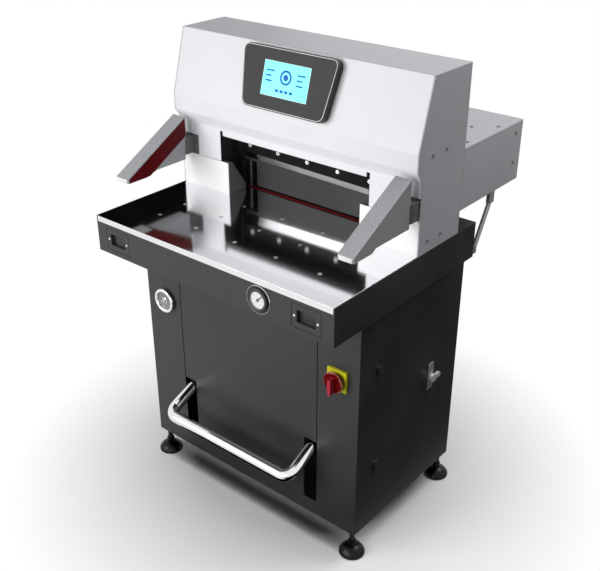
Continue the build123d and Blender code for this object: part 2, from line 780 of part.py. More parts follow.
export_step(table_frame.part, "parts/table_frame.step")

# Work table with its stick groove, drawbar holes, nozzle holes and gauge slot
nozzle_points = []
for column in range(nozzle_columns):
    for row in range(nozzle_rows):
        outer_column = column in (0, nozzle_columns - 1)
        if not (outer_column and row == nozzle_rows - 1):
            x = (column - (nozzle_columns - 1) / 2) * nozzle_pitch_x
            nozzle_points.append((x, back(nozzle_first_from_front + row * nozzle_pitch_y)))
table_back_y = column_y[1]
stick_y = around(knife_y, stick_width / 2)
slot_start_y = back(front_bearing_from_front + bearing_length)
rear_table_end = back(guard_reach - rear_table_end_margin)
rear_bearing_y = (rear_table_end - rear_bearing_from_end + bearing_length / 2,
                  rear_table_end - rear_bearing_from_end + 3 * bearing_length / 2)
slot_end_y = rear_bearing_y[0]
slot_half_width = neck_half_width + neck_slot_gap
table_half_gap = frame_half_gap - frame_foot_clearance

with BuildPart() as work_table:
    block(both(half_width - bed_wall), (bed_y[0], column_y[0] + 2 * sheet), (table_under, table_height))
    block(both(table_half_gap), (bed_y[0], table_back_y), (table_under, table_height))
    block(both(frame_half_gap + overrun), stick_y, (table_height - stick_depth, table_height + overrun),
          Mode.SUBTRACT)
    bars("Z", [(side * drawbar_from_middle, drawbar_y) for side in (-1, 1)], drawbar_radius + moving_gap,
         (table_under - overrun, table_height + overrun), Mode.SUBTRACT)
    bars("Z", nozzle_points, nozzle_radius, (table_under - overrun, table_height + overrun), Mode.SUBTRACT)
    block(both(slot_half_width), (slot_start_y, table_back_y + overrun), (table_under - overrun,
          table_height + overrun), Mode.SUBTRACT)
work_table.part.label = "work_table"
export_step(work_table.part, "parts/work_table.step")

with BuildPart() as cutting_stick:
    block(both(table_half_gap), stick_y, (table_height - stick_depth, table_height))
cutting_stick.part.label = "cutting_stick"
export_step(cutting_stick.part, "parts/cutting_stick.step")

# Air nozzles: a pressed-in seat with a ball that stands a little proud
with BuildPart() as air_nozzles:
    bars("Z", nozzle_points, nozzle_radius, (table_height - nozzle_depth, table_height))
    ball_z = table_height + nozzle_ball_proud - nozzle_ball_radius
    with Locations(*[(x, y, ball_z) for x, y in nozzle_points]):
        Sphere(nozzle_ball_radius)
air_nozzles.part.label = "air_nozzles"
export_step(air_nozzles.part, "parts/air_nozzles.step")

# Air path: a flat manifold under the table, a duct and the blower on the base plate
manifold_half_x = nozzle_pitch_x * (nozzle_columns - 1) / 2 + nozzle_radius + seam
manifold_y = (back(nozzle_first_from_front) - manifold_border,
              back(nozzle_first_from_front + (nozzle_rows - 1) * nozzle_pitch_y) + manifold_border)
manifold_z = (table_under - manifold_depth, table_under)
duct_y = back(blower_from_front)
with BuildPart() as air_manifold:
    block(both(manifold_half_x), manifold_y, manifold_z)
    inner_x = manifold_half_x - duct_wall
    block(both(inner_x), (manifold_y[0] + duct_wall, manifold_y[1] - duct_wall),
          (manifold_z[0] + duct_wall, manifold_z[1] + overrun), Mode.SUBTRACT)
    blower_top = base_top + 2 * blower_radius
    bars("Z", [(0, duct_y)], duct_radius, (blower_top, manifold_z[0] + duct_wall))
    bars("Z", [(0, duct_y)], duct_radius - duct_wall, (blower_top - overrun, manifold_z[0] + duct_wall + overrun),
         Mode.SUBTRACT)
air_manifold.part.label = "air_manifold"
export_step(air_manifold.part, "parts/air_manifold.step")

with BuildPart() as air_blower:
    blower_z = base_top + blower_radius
    bars("X", [(duct_y, blower_z)], blower_radius, both(blower_width / 2))
    block(both(blower_width / 2), around(duct_y, blower_radius), (base_top, base_top + blower_radius / 2))
    block(both(blower_width / 2), (duct_y, duct_y + duct_radius), (blower_z, blower_top))
    bars("X", [(duct_y, blower_z)], blower_radius / 2, (blower_width / 2, blower_width / 2 + blower_radius / 2))
air_blower.part.label = "air_blower"
export_step(air_blower.part, "parts/air_blower.step")

# Two tool drawers with recessed pulls
for side, side_name in ((-1, "left"), (1, "right")):
    middle = side * drawer_x
    with BuildPart() as drawer:
        front_x = around(middle, drawer_width / 2 - seam)
        front_z = (drawer_z[0] + seam, drawer_z[1] - seam)
        block(front_x, (bed_y[0], bed_y[0] + bed_wall), front_z)
        tray_top = front_z[1] - 2 * drawer_wall
        tray_y = (bed_y[0] + bed_wall, bed_y[0] + drawer_length - overrun)
        tray_x = around(middle, drawer_width / 2 - seam - drawer_wall)
        block(tray_x, tray_y, (front_z[0], tray_top))
        cup_y = bed_y[0] + pull_depth + drawer_wall
        block((tray_x[0] + drawer_wall, tray_x[1] - drawer_wall), (cup_y, tray_y[1] - drawer_wall),
              (front_z[0] + drawer_wall, tray_top + overrun), Mode.SUBTRACT)
        pull_z = around(sum(front_z) / 2, pull_height / 2)
        block(around(middle, pull_width / 2), (bed_y[0] - overrun, bed_y[0] + pull_depth), pull_z, Mode.SUBTRACT)
    drawer.part.label = f"{side_name}_drawer"
    export_step(drawer.part, f"parts/{side_name}_drawer.step")

# Pressure gauge in the apron
gauge_axis = Axis((gauge_x, 0, gauge_z), (0, 1, 0))
gauge_front_y = bed_y[0] - gauge_proud
dial_y = gauge_front_y + gauge_face_sink
with BuildPart() as gauge_case:
    bars("Y", [(gauge_x, gauge_z)], gauge_bezel_radius, (gauge_front_y, bed_y[0]))
    bars("Y", [(gauge_x, gauge_z)], gauge_flange_radius, (bed_y[0] - gauge_flange, bed_y[0]))
    bars("Y", [(gauge_x, gauge_z)], gauge_body_radius, (bed_y[0], bed_y[0] + gauge_body_depth))
    bars("Y", [(gauge_x, gauge_z)], gauge_face_radius, (gauge_front_y - overrun, dial_y), Mode.SUBTRACT)
    bars("Y", [(gauge_x, gauge_z)], pointer_thickness + running_clearance,
         (gauge_front_y, dial_y + gauge_face_sink), Mode.SUBTRACT)
gauge_case.part.label = "gauge_case"
export_step(gauge_case.part, "parts/gauge_case.step")

pointer_y = (dial_y - moving_gap - pointer_thickness, dial_y - moving_gap)
with BuildPart() as gauge_pointer:
    bars("Y", [(gauge_x, gauge_z)], pointer_hub_radius, pointer_y)
    pointer_turn = radians(pointer_angle)
    pointer_plane = Plane(origin=(gauge_x, pointer_y[1], gauge_z),
                          x_dir=(cos(pointer_turn), 0, -sin(pointer_turn)), z_dir=(0, -1, 0))
    with BuildSketch(pointer_plane) as pointer_arm:
        with Locations((0, -pointer_tail)):
            Rectangle(pointer_width, pointer_length + pointer_tail, align=(Align.CENTER, Align.MIN))
    extrude(to_extrude=pointer_arm.sketch, amount=pointer_thickness)
    bars("Y", [(gauge_x, gauge_z)], pointer_thickness, (pointer_y[1], dial_y + gauge_face_sink - moving_gap))
gauge_pointer.part.label = "gauge_pointer"
export_step(gauge_pointer.part, "parts/gauge_pointer.step")

# Side frames: thick plates that carry the crown beam and guide the knife
frame_rise = head_rise - frame_below_head_top
frame_z = (bed_floor_top, above(frame_rise))
pin_z = above(knife_opening) + pin_above_edge * cos(radians(knife_tilt))
knife_stroke = (knife_opening - knife_edge_gap) / cos(radians(knife_lean))
knife_shift = knife_stroke * sin(radians(knife_lean))
pin_x = knife_shift / 2
knife_front_y = knife_y - knife_thickness
carrier_y = (knife_front_y - carrier_web, knife_front_y)
pocket_y = (carrier_y[0] - moving_gap, knife_y + moving_gap)
with BuildPart() as side_frames:
    frame_outline = [(frame_y[0], frame_z[0]), (frame_y[0], frame_z[1] - frame_slope_drop),
                     (frame_y[0] + frame_slope_back, frame_z[1]), (frame_y[1], frame_z[1]),
                     (frame_y[1], frame_z[0])]
    for side in (-1, 1):
        plate_x = sorted((side * frame_x[0], side * frame_x[1]))
        prism("X", frame_outline, plate_x)
    for side in (-1, 1):
        pocket_x = sorted((side * (frame_x[0] - overrun), side * (frame_x[0] + frame_pocket_depth)))
        block(pocket_x, pocket_y, (table_height, pin_z + pin_eye_radius), Mode.SUBTRACT)
side_frames.part.label = "side_frames"
export_step(side_frames.part, "parts/side_frames.step")

crown_y = (back(crown_front_from_front), back(crown_back_from_front))
crown_high = frame_z[1] - crown_below_frame_top
crown_z = (crown_high - crown_height, crown_high)
with BuildPart() as crown_beam:
    block(both(frame_half_gap), crown_y, crown_z)
    block(both(frame_half_gap + overrun), (crown_y[0] + crown_wall, crown_y[1] - crown_wall),
          (crown_z[0] + crown_wall, crown_z[1] - crown_wall), Mode.SUBTRACT)
crown_beam.part.label = "crown_beam"
export_step(crown_beam.part, "parts/crown_beam.step")

# Side guides that stand on the table in front of the knife
guide_y = (column_y[0] + sheet, knife_front_y - carrier_lip - seam)
with BuildPart() as side_guides:
    guide_outline = [(guide_y[0], table_height), (guide_y[0], above(guide_rise)),
                     (column_y[0] + guide_flat, above(guide_rise)), (guide_y[1], above(guide_low_rise)),
                     (guide_y[1], table_height)]
    for side in (-1, 1):
        guide_x = sorted((side * guide_inner_half_width, side * (guide_inner_half_width + guide_thickness)))
        prism("X", guide_outline, guide_x)
side_guides.part.label = "side_guides"
export_step(side_guides.part, "parts/side_guides.step")

# Knife: everything is drawn level in the knife's own frame, whose origin is the clevis pin
knife_frame = Plane(origin=(pin_x, knife_front_y - carrier_web / 2, pin_z),
                    x_dir=(cos(radians(knife_tilt)), 0, -sin(radians(knife_tilt))),
                    z_dir=(sin(radians(knife_tilt)), 0, cos(radians(knife_tilt))))
edge_level = -pin_above_edge
web_y = both(carrier_web / 2)
lip_y = (web_y[1] - carrier_lip, web_y[1])
blade_y = (web_y[1], web_y[1] + knife_thickness)
bolt_level = edge_level + knife_bolt_rise
bolt_xs = [(index - (knife_bolt_count - 1) / 2) * knife_bolt_pitch - pin_x for index in range(knife_bolt_count)]
recess_y = lip_y[0] + knife_bolt_recess
bolt_points = [(x, bolt_level) for x in bolt_xs]

with BuildPart(knife_frame) as knife_carrier:
    lip_levels = [edge_level + level for level in (carrier_lip_low, carrier_lip_high)]
    web_levels = [edge_level + level for level in (carrier_web_low, carrier_top)]
    carrier_outline = [(lip_y[0], lip_levels[0]), (lip_y[1], lip_levels[0]), (web_y[1], web_levels[1]),
                       (web_y[0], web_levels[1]), (web_y[0], web_levels[0]), (lip_y[0], lip_levels[1])]
    prism("X", carrier_outline, both(knife_half_length), frame=knife_frame)
    eye_y = both(pin_eye_thickness / 2)
    block(both(pin_eye_radius), eye_y, (web_levels[1], 0))
    bars("Y", [(0, 0)], pin_eye_radius, eye_y, frame=knife_frame)
    bars("Y", [(0, 0)], pin_radius + running_clearance, both(carrier_web), Mode.SUBTRACT, knife_frame)
    bars("Y", bolt_points, knife_bolt_radius + running_clearance, both(carrier_web), Mode.SUBTRACT, knife_frame)
    bars("Y", bolt_points, knife_bolt_recess_radius, (lip_y[0] - overrun, recess_y), Mode.SUBTRACT, knife_frame)
knife_carrier.part.label = "knife_carrier"
export_step(knife_carrier.part, "parts/knife_carrier.step")

with BuildPart(knife_frame) as knife_blade:
    blade_outline = [(blade_y[1], edge_level), (blade_y[1], edge_level + knife_height),
                     (blade_y[0], edge_level + knife_height), (blade_y[0], edge_level + knife_bevel)]
    prism("X", blade_outline, both(knife_half_length), frame=knife_frame)
    bars("Y", bolt_points, knife_bolt_radius + running_clearance, both(2 * carrier_web), Mode.SUBTRACT,
         knife_frame)
knife_blade.part.label = "knife_blade"
export_step(knife_blade.part, "parts/knife_blade.step")

with BuildPart(knife_frame) as knife_bolts:
    bars("Y", bolt_points, knife_bolt_radius, (recess_y, blade_y[1]), frame=knife_frame)
    bars("Y", bolt_points, knife_bolt_head_radius, (lip_y[0] - knife_bolt_head, recess_y), frame=knife_frame)
knife_bolts.part.label = "knife_bolts"
export_step(knife_bolts.part, "parts/knife_bolts.step")

# Knife ram: pin, clevis, rod and piston along the slanted stroke
ram_frame = Plane(origin=knife_frame.origin, x_dir=(cos(radians(knife_lean)), 0, -sin(radians(knife_lean))),
                  z_dir=(sin(radians(knife_lean)), 0, cos(radians(knife_lean))))
barrel_span = (knife_barrel_start, knife_barrel_start + knife_barrel_length)
piston_span = (barrel_span[1] - barrel_cap - knife_piston - moving_gap, barrel_span[1] - barrel_cap - moving_gap)
fork_y = both(pin_eye_thickness / 2 + moving_gap)
with BuildPart(ram_frame) as knife_rod:
    ear_y = both(pin_eye_thickness / 2 + moving_gap + clevis_ear)
    bars("Y", [(0, 0)], clevis_half_width, ear_y, frame=ram_frame)
    block(both(clevis_half_width), ear_y, (0, knife_barrel_start - 2 * moving_gap - overrun))
    block(both(2 * clevis_half_width), fork_y, (-2 * clevis_half_width, pin_eye_radius + 2 * moving_gap),
          Mode.SUBTRACT)
    bars("Y", [(0, 0)], pin_radius, ear_y, frame=ram_frame)
    bars("Z", [(0, 0)], knife_rod_radius, (pin_eye_radius + 2 * moving_gap, piston_span[0]), frame=ram_frame)
    bars("Z", [(0, 0)], knife_bore_radius - running_clearance, piston_span, frame=ram_frame)
knife_rod.part.label = "knife_rod"
export_step(knife_rod.part, "parts/knife_rod.step")

barrel_radius = knife_bore_radius + knife_barrel_wall
with BuildPart(ram_frame) as knife_cylinder:
    bars("Z", [(0, 0)], barrel_radius, barrel_span, frame=ram_frame)
    # Saddles reach back to the crown beam
    for level in (barrel_span[0] + saddle_width, barrel_span[1] - 2 * saddle_width):
        block(both(saddle_half_span), (0, crown_y[0] - knife_frame.origin.Y), (level, level + saddle_width))
    bars("Z", [(0, 0)], knife_bore_radius, (barrel_span[0] + barrel_cap, barrel_span[1] - barrel_cap),
         Mode.SUBTRACT, ram_frame)
    bars("Z", [(0, 0)], knife_rod_radius + running_clearance, (barrel_span[0] - overrun,
         barrel_span[0] + barrel_cap + overrun), Mode.SUBTRACT, ram_frame)
knife_cylinder.part.label = "knife_cylinder"
export_step(knife_cylinder.part, "parts/knife_cylinder.step")

# Clamp beam with its narrower foot, pulled down by two drawbars from a yoke under the bed
clamp_low = above(clamp_rest_rise)
clamp_shoulder = clamp_low + clamp_foot_height
clamp_top = clamp_shoulder + clamp_body_height
clamp_y = (clamp_front_y, clamp_front_y + clamp_body_depth)
drawbar_points = [(side * drawbar_from_middle, drawbar_y) for side in (-1, 1)]
yoke_z = (bed_bottom - yoke_depth_below_bed - yoke_height, bed_bottom - yoke_depth_below_bed)
bar_grip = drawbar_nut_height

with BuildPart() as clamp_beam:
    block(both(clamp_foot_half_width), (clamp_y[0], clamp_y[0] + clamp_foot_depth), (clamp_low, clamp_shoulder))
    block(both(clamp_body_half_width), clamp_y, (clamp_shoulder, clamp_top))
    bars("Z", drawbar_points, drawbar_radius + running_clearance, (clamp_shoulder - overrun,
         clamp_shoulder + bar_grip * 3), Mode.SUBTRACT)
clamp_beam.part.label = "clamp_beam"
export_step(clamp_beam.part, "parts/clamp_beam.step")

with BuildPart() as clamp_drawbars:
    bars("Z", drawbar_points, drawbar_radius, (yoke_z[0] - drawbar_nut_height, clamp_shoulder + bar_grip * 3))
    for low, high in ((yoke_z[0] - drawbar_nut_height, yoke_z[0]), (yoke_z[1], yoke_z[1] + drawbar_nut_height)):
        with BuildSketch(Plane.XY.offset(low)):
            with Locations(*drawbar_points):
                RegularPolygon(drawbar_nut_radius, 6)
        extrude(amount=high - low)
clamp_drawbars.part.label = "clamp_drawbars"
export_step(clamp_drawbars.part, "parts/clamp_drawbars.step")

barrel_z = (bed_bottom - clamp_barrel_length, bed_bottom)
clamp_piston_z = (barrel_z[0] + barrel_cap + clamp_piston_lift,
                  barrel_z[0] + barrel_cap + clamp_piston_lift + clamp_piston)
with BuildPart() as clamp_yoke:
    block(both(yoke_half_width), around(drawbar_y, yoke_thickness / 2), yoke_z)
    bars("Z", drawbar_points, drawbar_radius + running_clearance, (yoke_z[0] - overrun, yoke_z[1] + overrun),
         Mode.SUBTRACT)
    bars("Z", [(0, drawbar_y)], clamp_rod_radius, (yoke_z[1], clamp_piston_z[0]))
    bars("Z", [(0, drawbar_y)], clamp_bore_radius - running_clearance, clamp_piston_z)
clamp_yoke.part.label = "clamp_yoke"
export_step(clamp_yoke.part, "parts/clamp_yoke.step")

with BuildPart() as clamp_cylinder:
    bars("Z", [(0, drawbar_y)], clamp_bore_radius + clamp_barrel_wall, barrel_z)
    bars("Z", [(0, drawbar_y)], clamp_flange_radius, (bed_bottom - clamp_flange, bed_bottom))
    bars("Z", [(0, drawbar_y)], clamp_bore_radius, (barrel_z[0] + barrel_cap, barrel_z[1] - barrel_cap),
         Mode.SUBTRACT)
    bars("Z", [(0, drawbar_y)], clamp_rod_radius + running_clearance, (barrel_z[0] - overrun,
         barrel_z[0] + barrel_cap + overrun), Mode.SUBTRACT)
clamp_cylinder.part.label = "clamp_cylinder"
export_step(clamp_cylinder.part, "parts/clamp_cylinder.step")

# Hydraulic unit and control box on the base plate
tank_x = (tank_side_margin - inner_half_width, tank_side_margin - inner_half_width + tank_width)
tank_y = (inner_y[1] - tank_back_margin - tank_length, inner_y[1] - tank_back_margin)
tank_z = (base_top, base_top + tank_height)
motor_point = (sum(tank_x) / 2, tank_y[1] - motor_radius - overrun)
motor_z = (tank_z[1] + motor_foot, tank_z[1] + motor_foot + motor_height)
with BuildPart() as oil_tank:
    block(tank_x, tank_y, tank_z)
    block((tank_x[0] + tank_wall, tank_x[1] - tank_wall), (tank_y[0] + tank_wall, tank_y[1] - tank_wall),
          (tank_z[0] + tank_wall, tank_z[1] - tank_wall), Mode.SUBTRACT)
    bars("Z", [(tank_x[1] - motor_end_height, tank_y[0] + motor_end_height)], motor_foot,
         (tank_z[1], tank_z[1] + motor_foot))
oil_tank.part.label = "oil_tank"
export_step(oil_tank.part, "parts/oil_tank.step")

with BuildPart() as pump_motor:
    bars("Z", [motor_point], motor_radius, (tank_z[1], motor_z[0]))
    bars("Z", [motor_point], motor_end_radius, motor_z)
    bars("Z", [motor_point], motor_radius, (motor_z[0] + motor_foot, motor_z[1] - motor_foot))
    bars("Z", [motor_point], motor_end_radius, (motor_z[1], motor_z[1] + motor_end_height))
    block((motor_point[0], motor_point[0] + motor_radius + motor_end_height),
          around(motor_point[1], motor_end_height), (motor_z[1] - 3 * motor_end_height, motor_z[1] - motor_end_height))
pump_motor.part.label = "pump_motor"
export_step(pump_motor.part, "parts/pump_motor.step")

control_x = (inner_half_width - control_side_margin - control_width, inner_half_width - control_side_margin)
control_y = (inner_y[1] - control_depth, inner_y[1])
control_z = (base_top + control_lift, base_top + control_lift + control_height)
with BuildPart() as control_box:
    block(control_x, control_y, control_z)
    fillet(control_box.edges().filter_by(Axis.Z), radius=sheet)
    for edge_x in (control_x[0], control_x[1] - control_lift):
        block((edge_x, edge_x + control_lift), control_y, (base_top, control_z[0]))
    lid_x = (control_x[0] + control_lift, control_x[1] - control_lift)
    block(lid_x, (control_y[0] - sheet, control_y[0]), (control_z[0] + control_lift, control_z[1] - control_lift))
control_box.part.label = "control_box"
export_step(control_box.part, "parts/control_box.step")

# Head covers: all follow one outline of the head in the YZ plane
slope_angle = atan2(head_top_front_from_front - band_front_from_front, head_rise - band_high_rise)


def head_outline(low):
    """The head's outline from the given height up to the top, with its two rounded corners."""
    corner_points = [(back(band_front_from_front), above(band_low_rise)), (column_y[0], above(apron_top_rise))]
    with BuildSketch(Plane.YZ) as outline:
        with BuildLine():
            Polyline((back(head_top_front_from_front), above(head_rise)),
                     (back(band_front_from_front), above(band_high_rise)), *corner_points,
                     (column_y[0], low), (column_y[1], low), (column_y[1], above(head_rise)), close=True)
        make_face()
        for corner, radius in zip(corner_points, (band_round, apron_round)):
            fillet(outline.vertices().sort_by_distance(corner)[0], radius=radius)
    return outline.sketch


panel_x = (half_width - sheet, half_width)
cover_half = half_width - sheet
apron_low = above(apron_low_rise)
head_top = above(head_rise)

with BuildPart() as head_front_cover:
    cover_outline = head_outline(apron_low)
    extrude(to_extrude=cover_outline, amount=cover_half, both=True)
    core_outline = offset(objects=cover_outline, amount=-sheet, mode=Mode.PRIVATE)
    extrude(to_extrude=core_outline, amount=half_width, both=True, mode=Mode.SUBTRACT)
    # Only the front wall is kept: the top, the back and the foot of the ring go
    block(both(half_width), (back(head_top_front_from_front), column_y[1] + overrun),
          (apron_low - overrun, head_top + overrun), Mode.SUBTRACT)
    block(both(half_width), (column_y[0] + sheet, column_y[1]), (apron_low - overrun, apron_low + 2 * sheet),
          Mode.SUBTRACT)
    # Cutting window with its relief slots, and the notches for the arm brackets
    window_y = (back(band_front_from_front) - overrun, column_y[0] + 2 * sheet)
    block(both(window_half_width), window_y, (apron_low - overrun, above(window_rise)), Mode.SUBTRACT)
    for side in (-1, 1):
        slot_x = sorted((side * (window_half_width - corner_slot_width), side * window_half_width))
        block(slot_x, window_y, (above(window_rise) - overrun, above(window_rise + corner_slot_height)),
              Mode.SUBTRACT)
        notch_x = sorted((side * notch_from_middle, side * half_width))
        block(notch_x, window_y, (apron_low - overrun, above(notch_rise)), Mode.SUBTRACT)
head_front_cover.part.label = "head_front_cover"
export_step(head_front_cover.part, "parts/head_front_cover.step")

for side, side_name in ((-1, "left"), (1, "right")):
    with BuildPart() as side_panel:
        extrude(to_extrude=head_outline(table_height), amount=half_width, both=True)
        cut_x = sorted((side * panel_x[0], -side * (half_width + overrun)))
        block(cut_x, (column_y[0] - half_width, column_y[1] + overrun), (table_height - overrun,
              head_top + overrun), Mode.SUBTRACT)
    side_panel.part.label = f"{side_name}_side_panel"
    export_step(side_panel.part, f"parts/{side_name}_side_panel.step")

with BuildPart() as head_top_cover:
    block(both(cover_half), (back(head_top_front_from_front), column_y[1] - sheet), (head_top - sheet, head_top))
head_top_cover.part.label = "head_top_cover"
export_step(head_top_cover.part, "parts/head_top_cover.step")

with BuildPart() as head_back_panel:
    block(both(cover_half), (column_y[1] - sheet, column_y[1]), (table_height, head_top))
    block(both(frame_half_gap), (column_y[1] - 2 * sheet, column_y[1] + overrun), (table_height - overrun,
          above(back_opening_rise)), Mode.SUBTRACT)
head_back_panel.part.label = "head_back_panel"
export_step(head_back_panel.part, "parts/head_back_panel.step")

with BuildPart() as column_covers:
    for side in (-1, 1):
        cover_x = sorted((side * guide_inner_half_width, side * cover_half))
        block(cover_x, (column_y[0], column_y[0] + sheet), (table_height, apron_low - seam))
column_covers.part.label = "column_covers"
export_step(column_covers.part, "parts/column_covers.step")

# Rear guard: a box open to the head, with a flange under each side
guard_y = (column_y[1], back(guard_reach))
guard_z = (above(guard_low_rise), above(guard_high_rise))
with BuildPart() as rear_guard:
    block(both(half_width), guard_y, guard_z)
    fillet(rear_guard.edges().filter_by(Axis.Y).group_by(Axis.Z)[-1], radius=guard_edge_round)
    inner_z = (guard_z[0] + sheet, guard_z[1] - sheet)
    block(both(half_width - sheet), (guard_y[0] - overrun, guard_y[1] - sheet), inner_z, Mode.SUBTRACT)
    block(both(frame_half_gap), (guard_y[0] - overrun, guard_y[1] - sheet), (guard_z[0] - overrun,
          inner_z[0] + overrun), Mode.SUBTRACT)
rear_guard.part.label = "rear_guard"
export_step(rear_guard.part, "parts/rear_guard.step")

# Rear table on two gussets, with the slot for the back gauge's neck
with BuildPart() as rear_table:
    block(both(table_half_gap), (table_back_y, rear_table_end), (table_under, table_height))
    block(both(slot_half_width), (table_back_y - overrun, slot_end_y), (table_under - overrun,
          table_height + overrun), Mode.SUBTRACT)
    gusset_outline = [(bed_y[1], table_under), (bed_y[1], table_under - rear_gusset_drop),
                      (bed_y[1] + rear_gusset, table_under - rear_gusset_drop),
                      (rear_table_end - rear_gusset, table_under)]
    for side in (-1, 1):
        prism("X", gusset_outline, around(side * rear_gusset_from_middle, rear_gusset / 2))
rear_table.part.label = "rear_table"
export_step(rear_table.part, "parts/rear_table.step")

# Back gauge: face plate, foot and neck in one casting with the carriage under the table
gauge_face_y = back(gauge_face_from_front)
carriage_y = (gauge_face_y + gauge_plate_thickness, gauge_face_y + gauge_plate_thickness + carriage_length)
carriage_z = (table_under - carriage_drop - carriage_height, table_under - carriage_drop)
screw_z = table_under - screw_drop
rail_points = [(side * rail_from_middle, screw_z) for side in (-1, 1)]
gauge_low = table_height + moving_gap
with BuildPart() as back_gauge:
    block(both(gauge_plate_half_width), (gauge_face_y, gauge_face_y + gauge_plate_thickness),
          (gauge_low, above(gauge_plate_rise)))
    block(both(gauge_plate_half_width), (gauge_face_y, gauge_face_y + gauge_foot_length),
          (gauge_low, gauge_low + gauge_foot_height))
    block(both(neck_half_width), carriage_y, (carriage_z[1], gauge_low))
    block(both(carriage_half_width), carriage_y, carriage_z)
    bars("Y", rail_points, rail_radius + running_clearance, (carriage_y[0] - overrun, carriage_y[1] + overrun),
         Mode.SUBTRACT)
    bars("Y", [(0, screw_z)], screw_shaft_radius + running_clearance, (carriage_y[0] - overrun,
         carriage_y[1] + overrun), Mode.SUBTRACT)
    rib_outline = [(gauge_face_y + gauge_plate_thickness, gauge_low + gauge_foot_height),
                   (gauge_face_y + gauge_foot_length, gauge_low + gauge_foot_height),
                   (gauge_face_y + gauge_plate_thickness, above(gauge_plate_rise) - overrun)]
    for x in (-gauge_plate_half_width / 2, 0, gauge_plate_half_width / 2):
        prism("X", rib_outline, around(x, rear_gusset / 2))
back_gauge.part.label = "back_gauge"
export_step(back_gauge.part, "parts/back_gauge.step")

front_bearing_y = (back(front_bearing_from_front), back(front_bearing_from_front) + bearing_length)
with BuildPart() as lead_screw:
    bars("Y", [(0, screw_z)], screw_shaft_radius, (front_bearing_y[0] - bearing_length, rear_bearing_y[1]))
lead_screw.part.label = "lead_screw"
export_step(lead_screw.part, "parts/lead_screw.step")

with BuildPart() as gauge_rails:
    for span in (front_bearing_y, rear_bearing_y):
        block(both(carriage_half_width), span, (carriage_z[0], table_under))
    bars("Y", rail_points, rail_radius, (front_bearing_y[0], rear_bearing_y[1]))
    bars("Y", [(0, screw_z)], screw_shaft_radius + running_clearance, (front_bearing_y[0] - overrun,
         rear_bearing_y[1] + overrun), Mode.SUBTRACT)
gauge_rails.part.label = "gauge_rails"
export_step(gauge_rails.part, "parts/gauge_rails.step")

motor_y = (front_bearing_y[0] - drive_motor_length, front_bearing_y[0])
with BuildPart() as gauge_motor:
    block(both(drive_motor_half), motor_y, around(screw_z, drive_motor_half))
    chamfer(gauge_motor.edges().filter_by(Axis.Y), length=sheet)
    bars("Y", [(0, screw_z)], screw_shaft_radius + running_clearance, (motor_y[1] - bearing_length - moving_gap,
         motor_y[1] + overrun), Mode.SUBTRACT)
gauge_motor.part.label = "gauge_motor"
export_step(gauge_motor.part, "parts/gauge_motor.step")

# Guard struts: a rod with flattened eyes between two clevises on each side
strut_x = half_width - strut_from_side
strut_top = (back(strut_top_from_front), guard_z[0] - strut_top_drop)
strut_foot = (back(bed_length + strut_foot_from_bed), table_height - strut_foot_drop)
strut_length = hypot(strut_top[0] - strut_foot[0], strut_top[1] - strut_foot[1])
with BuildPart() as guard_struts:
    for side in (-1, 1):
        strut_direction = (0, strut_top[0] - strut_foot[0], strut_top[1] - strut_foot[1])
        foot_point = (side * strut_x, strut_foot[0], strut_foot[1])
        with BuildSketch(Plane(origin=foot_point, z_dir=strut_direction)):
            Circle(strut_radius)
        extrude(amount=strut_length)
        eye_x = around(side * strut_x, clevis_plate)
        bars("X", [strut_foot, strut_top], strut_radius + clevis_plate, eye_x)
        # Upper clevis under the guard's flange and lower clevis on the bed's rear wall
        bars("X", [strut_foot, strut_top], clevis_plate, around(side * strut_x, strut_from_side))
        for cheek in (-1, 1):
            cheek_x = sorted((side * strut_x + cheek * (clevis_plate + moving_gap),
                              side * strut_x + cheek * (2 * clevis_plate + moving_gap)))
            block(cheek_x, around(strut_top[0], strut_eye), (strut_top[1] - strut_eye / 2, guard_z[0]))
            block(cheek_x, (bed_y[1], strut_foot[0] + strut_eye / 2), around(strut_foot[1], strut_eye))
guard_struts.part.label = "guard_struts"
export_step(guard_struts.part, "parts/guard_struts.step")

# Display on the tilted face
face_plane = Plane(origin=(0, back(band_front_from_front), above(band_high_rise)), x_dir=(1, 0, 0),
                   z_dir=(0, -cos(slope_angle), sin(slope_angle)))
case_top = display_up_slope + display_above_screen
case_low = display_up_slope - display_below_screen
case_points = [(-display_low_width / 2, case_low), (display_low_width / 2, case_low),
               (display_top_width / 2, case_top), (-display_top_width / 2, case_top)]
with BuildPart() as display_housing:
    with BuildSketch(face_plane) as case_outline:
        with BuildLine():
            Polyline(*case_points, close=True)
        make_face()
        fillet(case_outline.vertices(), radius=display_corner)
    extrude(amount=display_depth)
    front_edges = display_housing.faces().sort_by(Axis(face_plane.origin, face_plane.z_dir))[-1].edges()
    fillet(front_edges, radius=display_edge)
    with BuildSketch(face_plane) as case_inside:
        with BuildLine():
            Polyline(*case_points, close=True)
        make_face()
        fillet(case_inside.vertices(), radius=display_corner)
        offset(amount=-sheet, mode=Mode.REPLACE)
    extrude(amount=display_depth - sheet - screen_thickness, mode=Mode.SUBTRACT)
    with BuildSketch(face_plane.offset(display_depth - screen_sink - screen_thickness)):
        with Locations((0, display_up_slope)):
            Rectangle(screen_width, screen_height)
    extrude(amount=display_depth, mode=Mode.SUBTRACT)
display_housing.part.label = "display_housing"
export_step(display_housing.part, "parts/display_housing.step")

with BuildPart() as display_screen:
    with BuildSketch(face_plane.offset(display_depth - screen_sink - screen_thickness)):
        with Locations((0, display_up_slope)):
            Rectangle(screen_width, screen_height)
    extrude(amount=screen_thickness)
display_screen.part.label = "display_screen"
export_step(display_screen.part, "parts/display_screen.step")

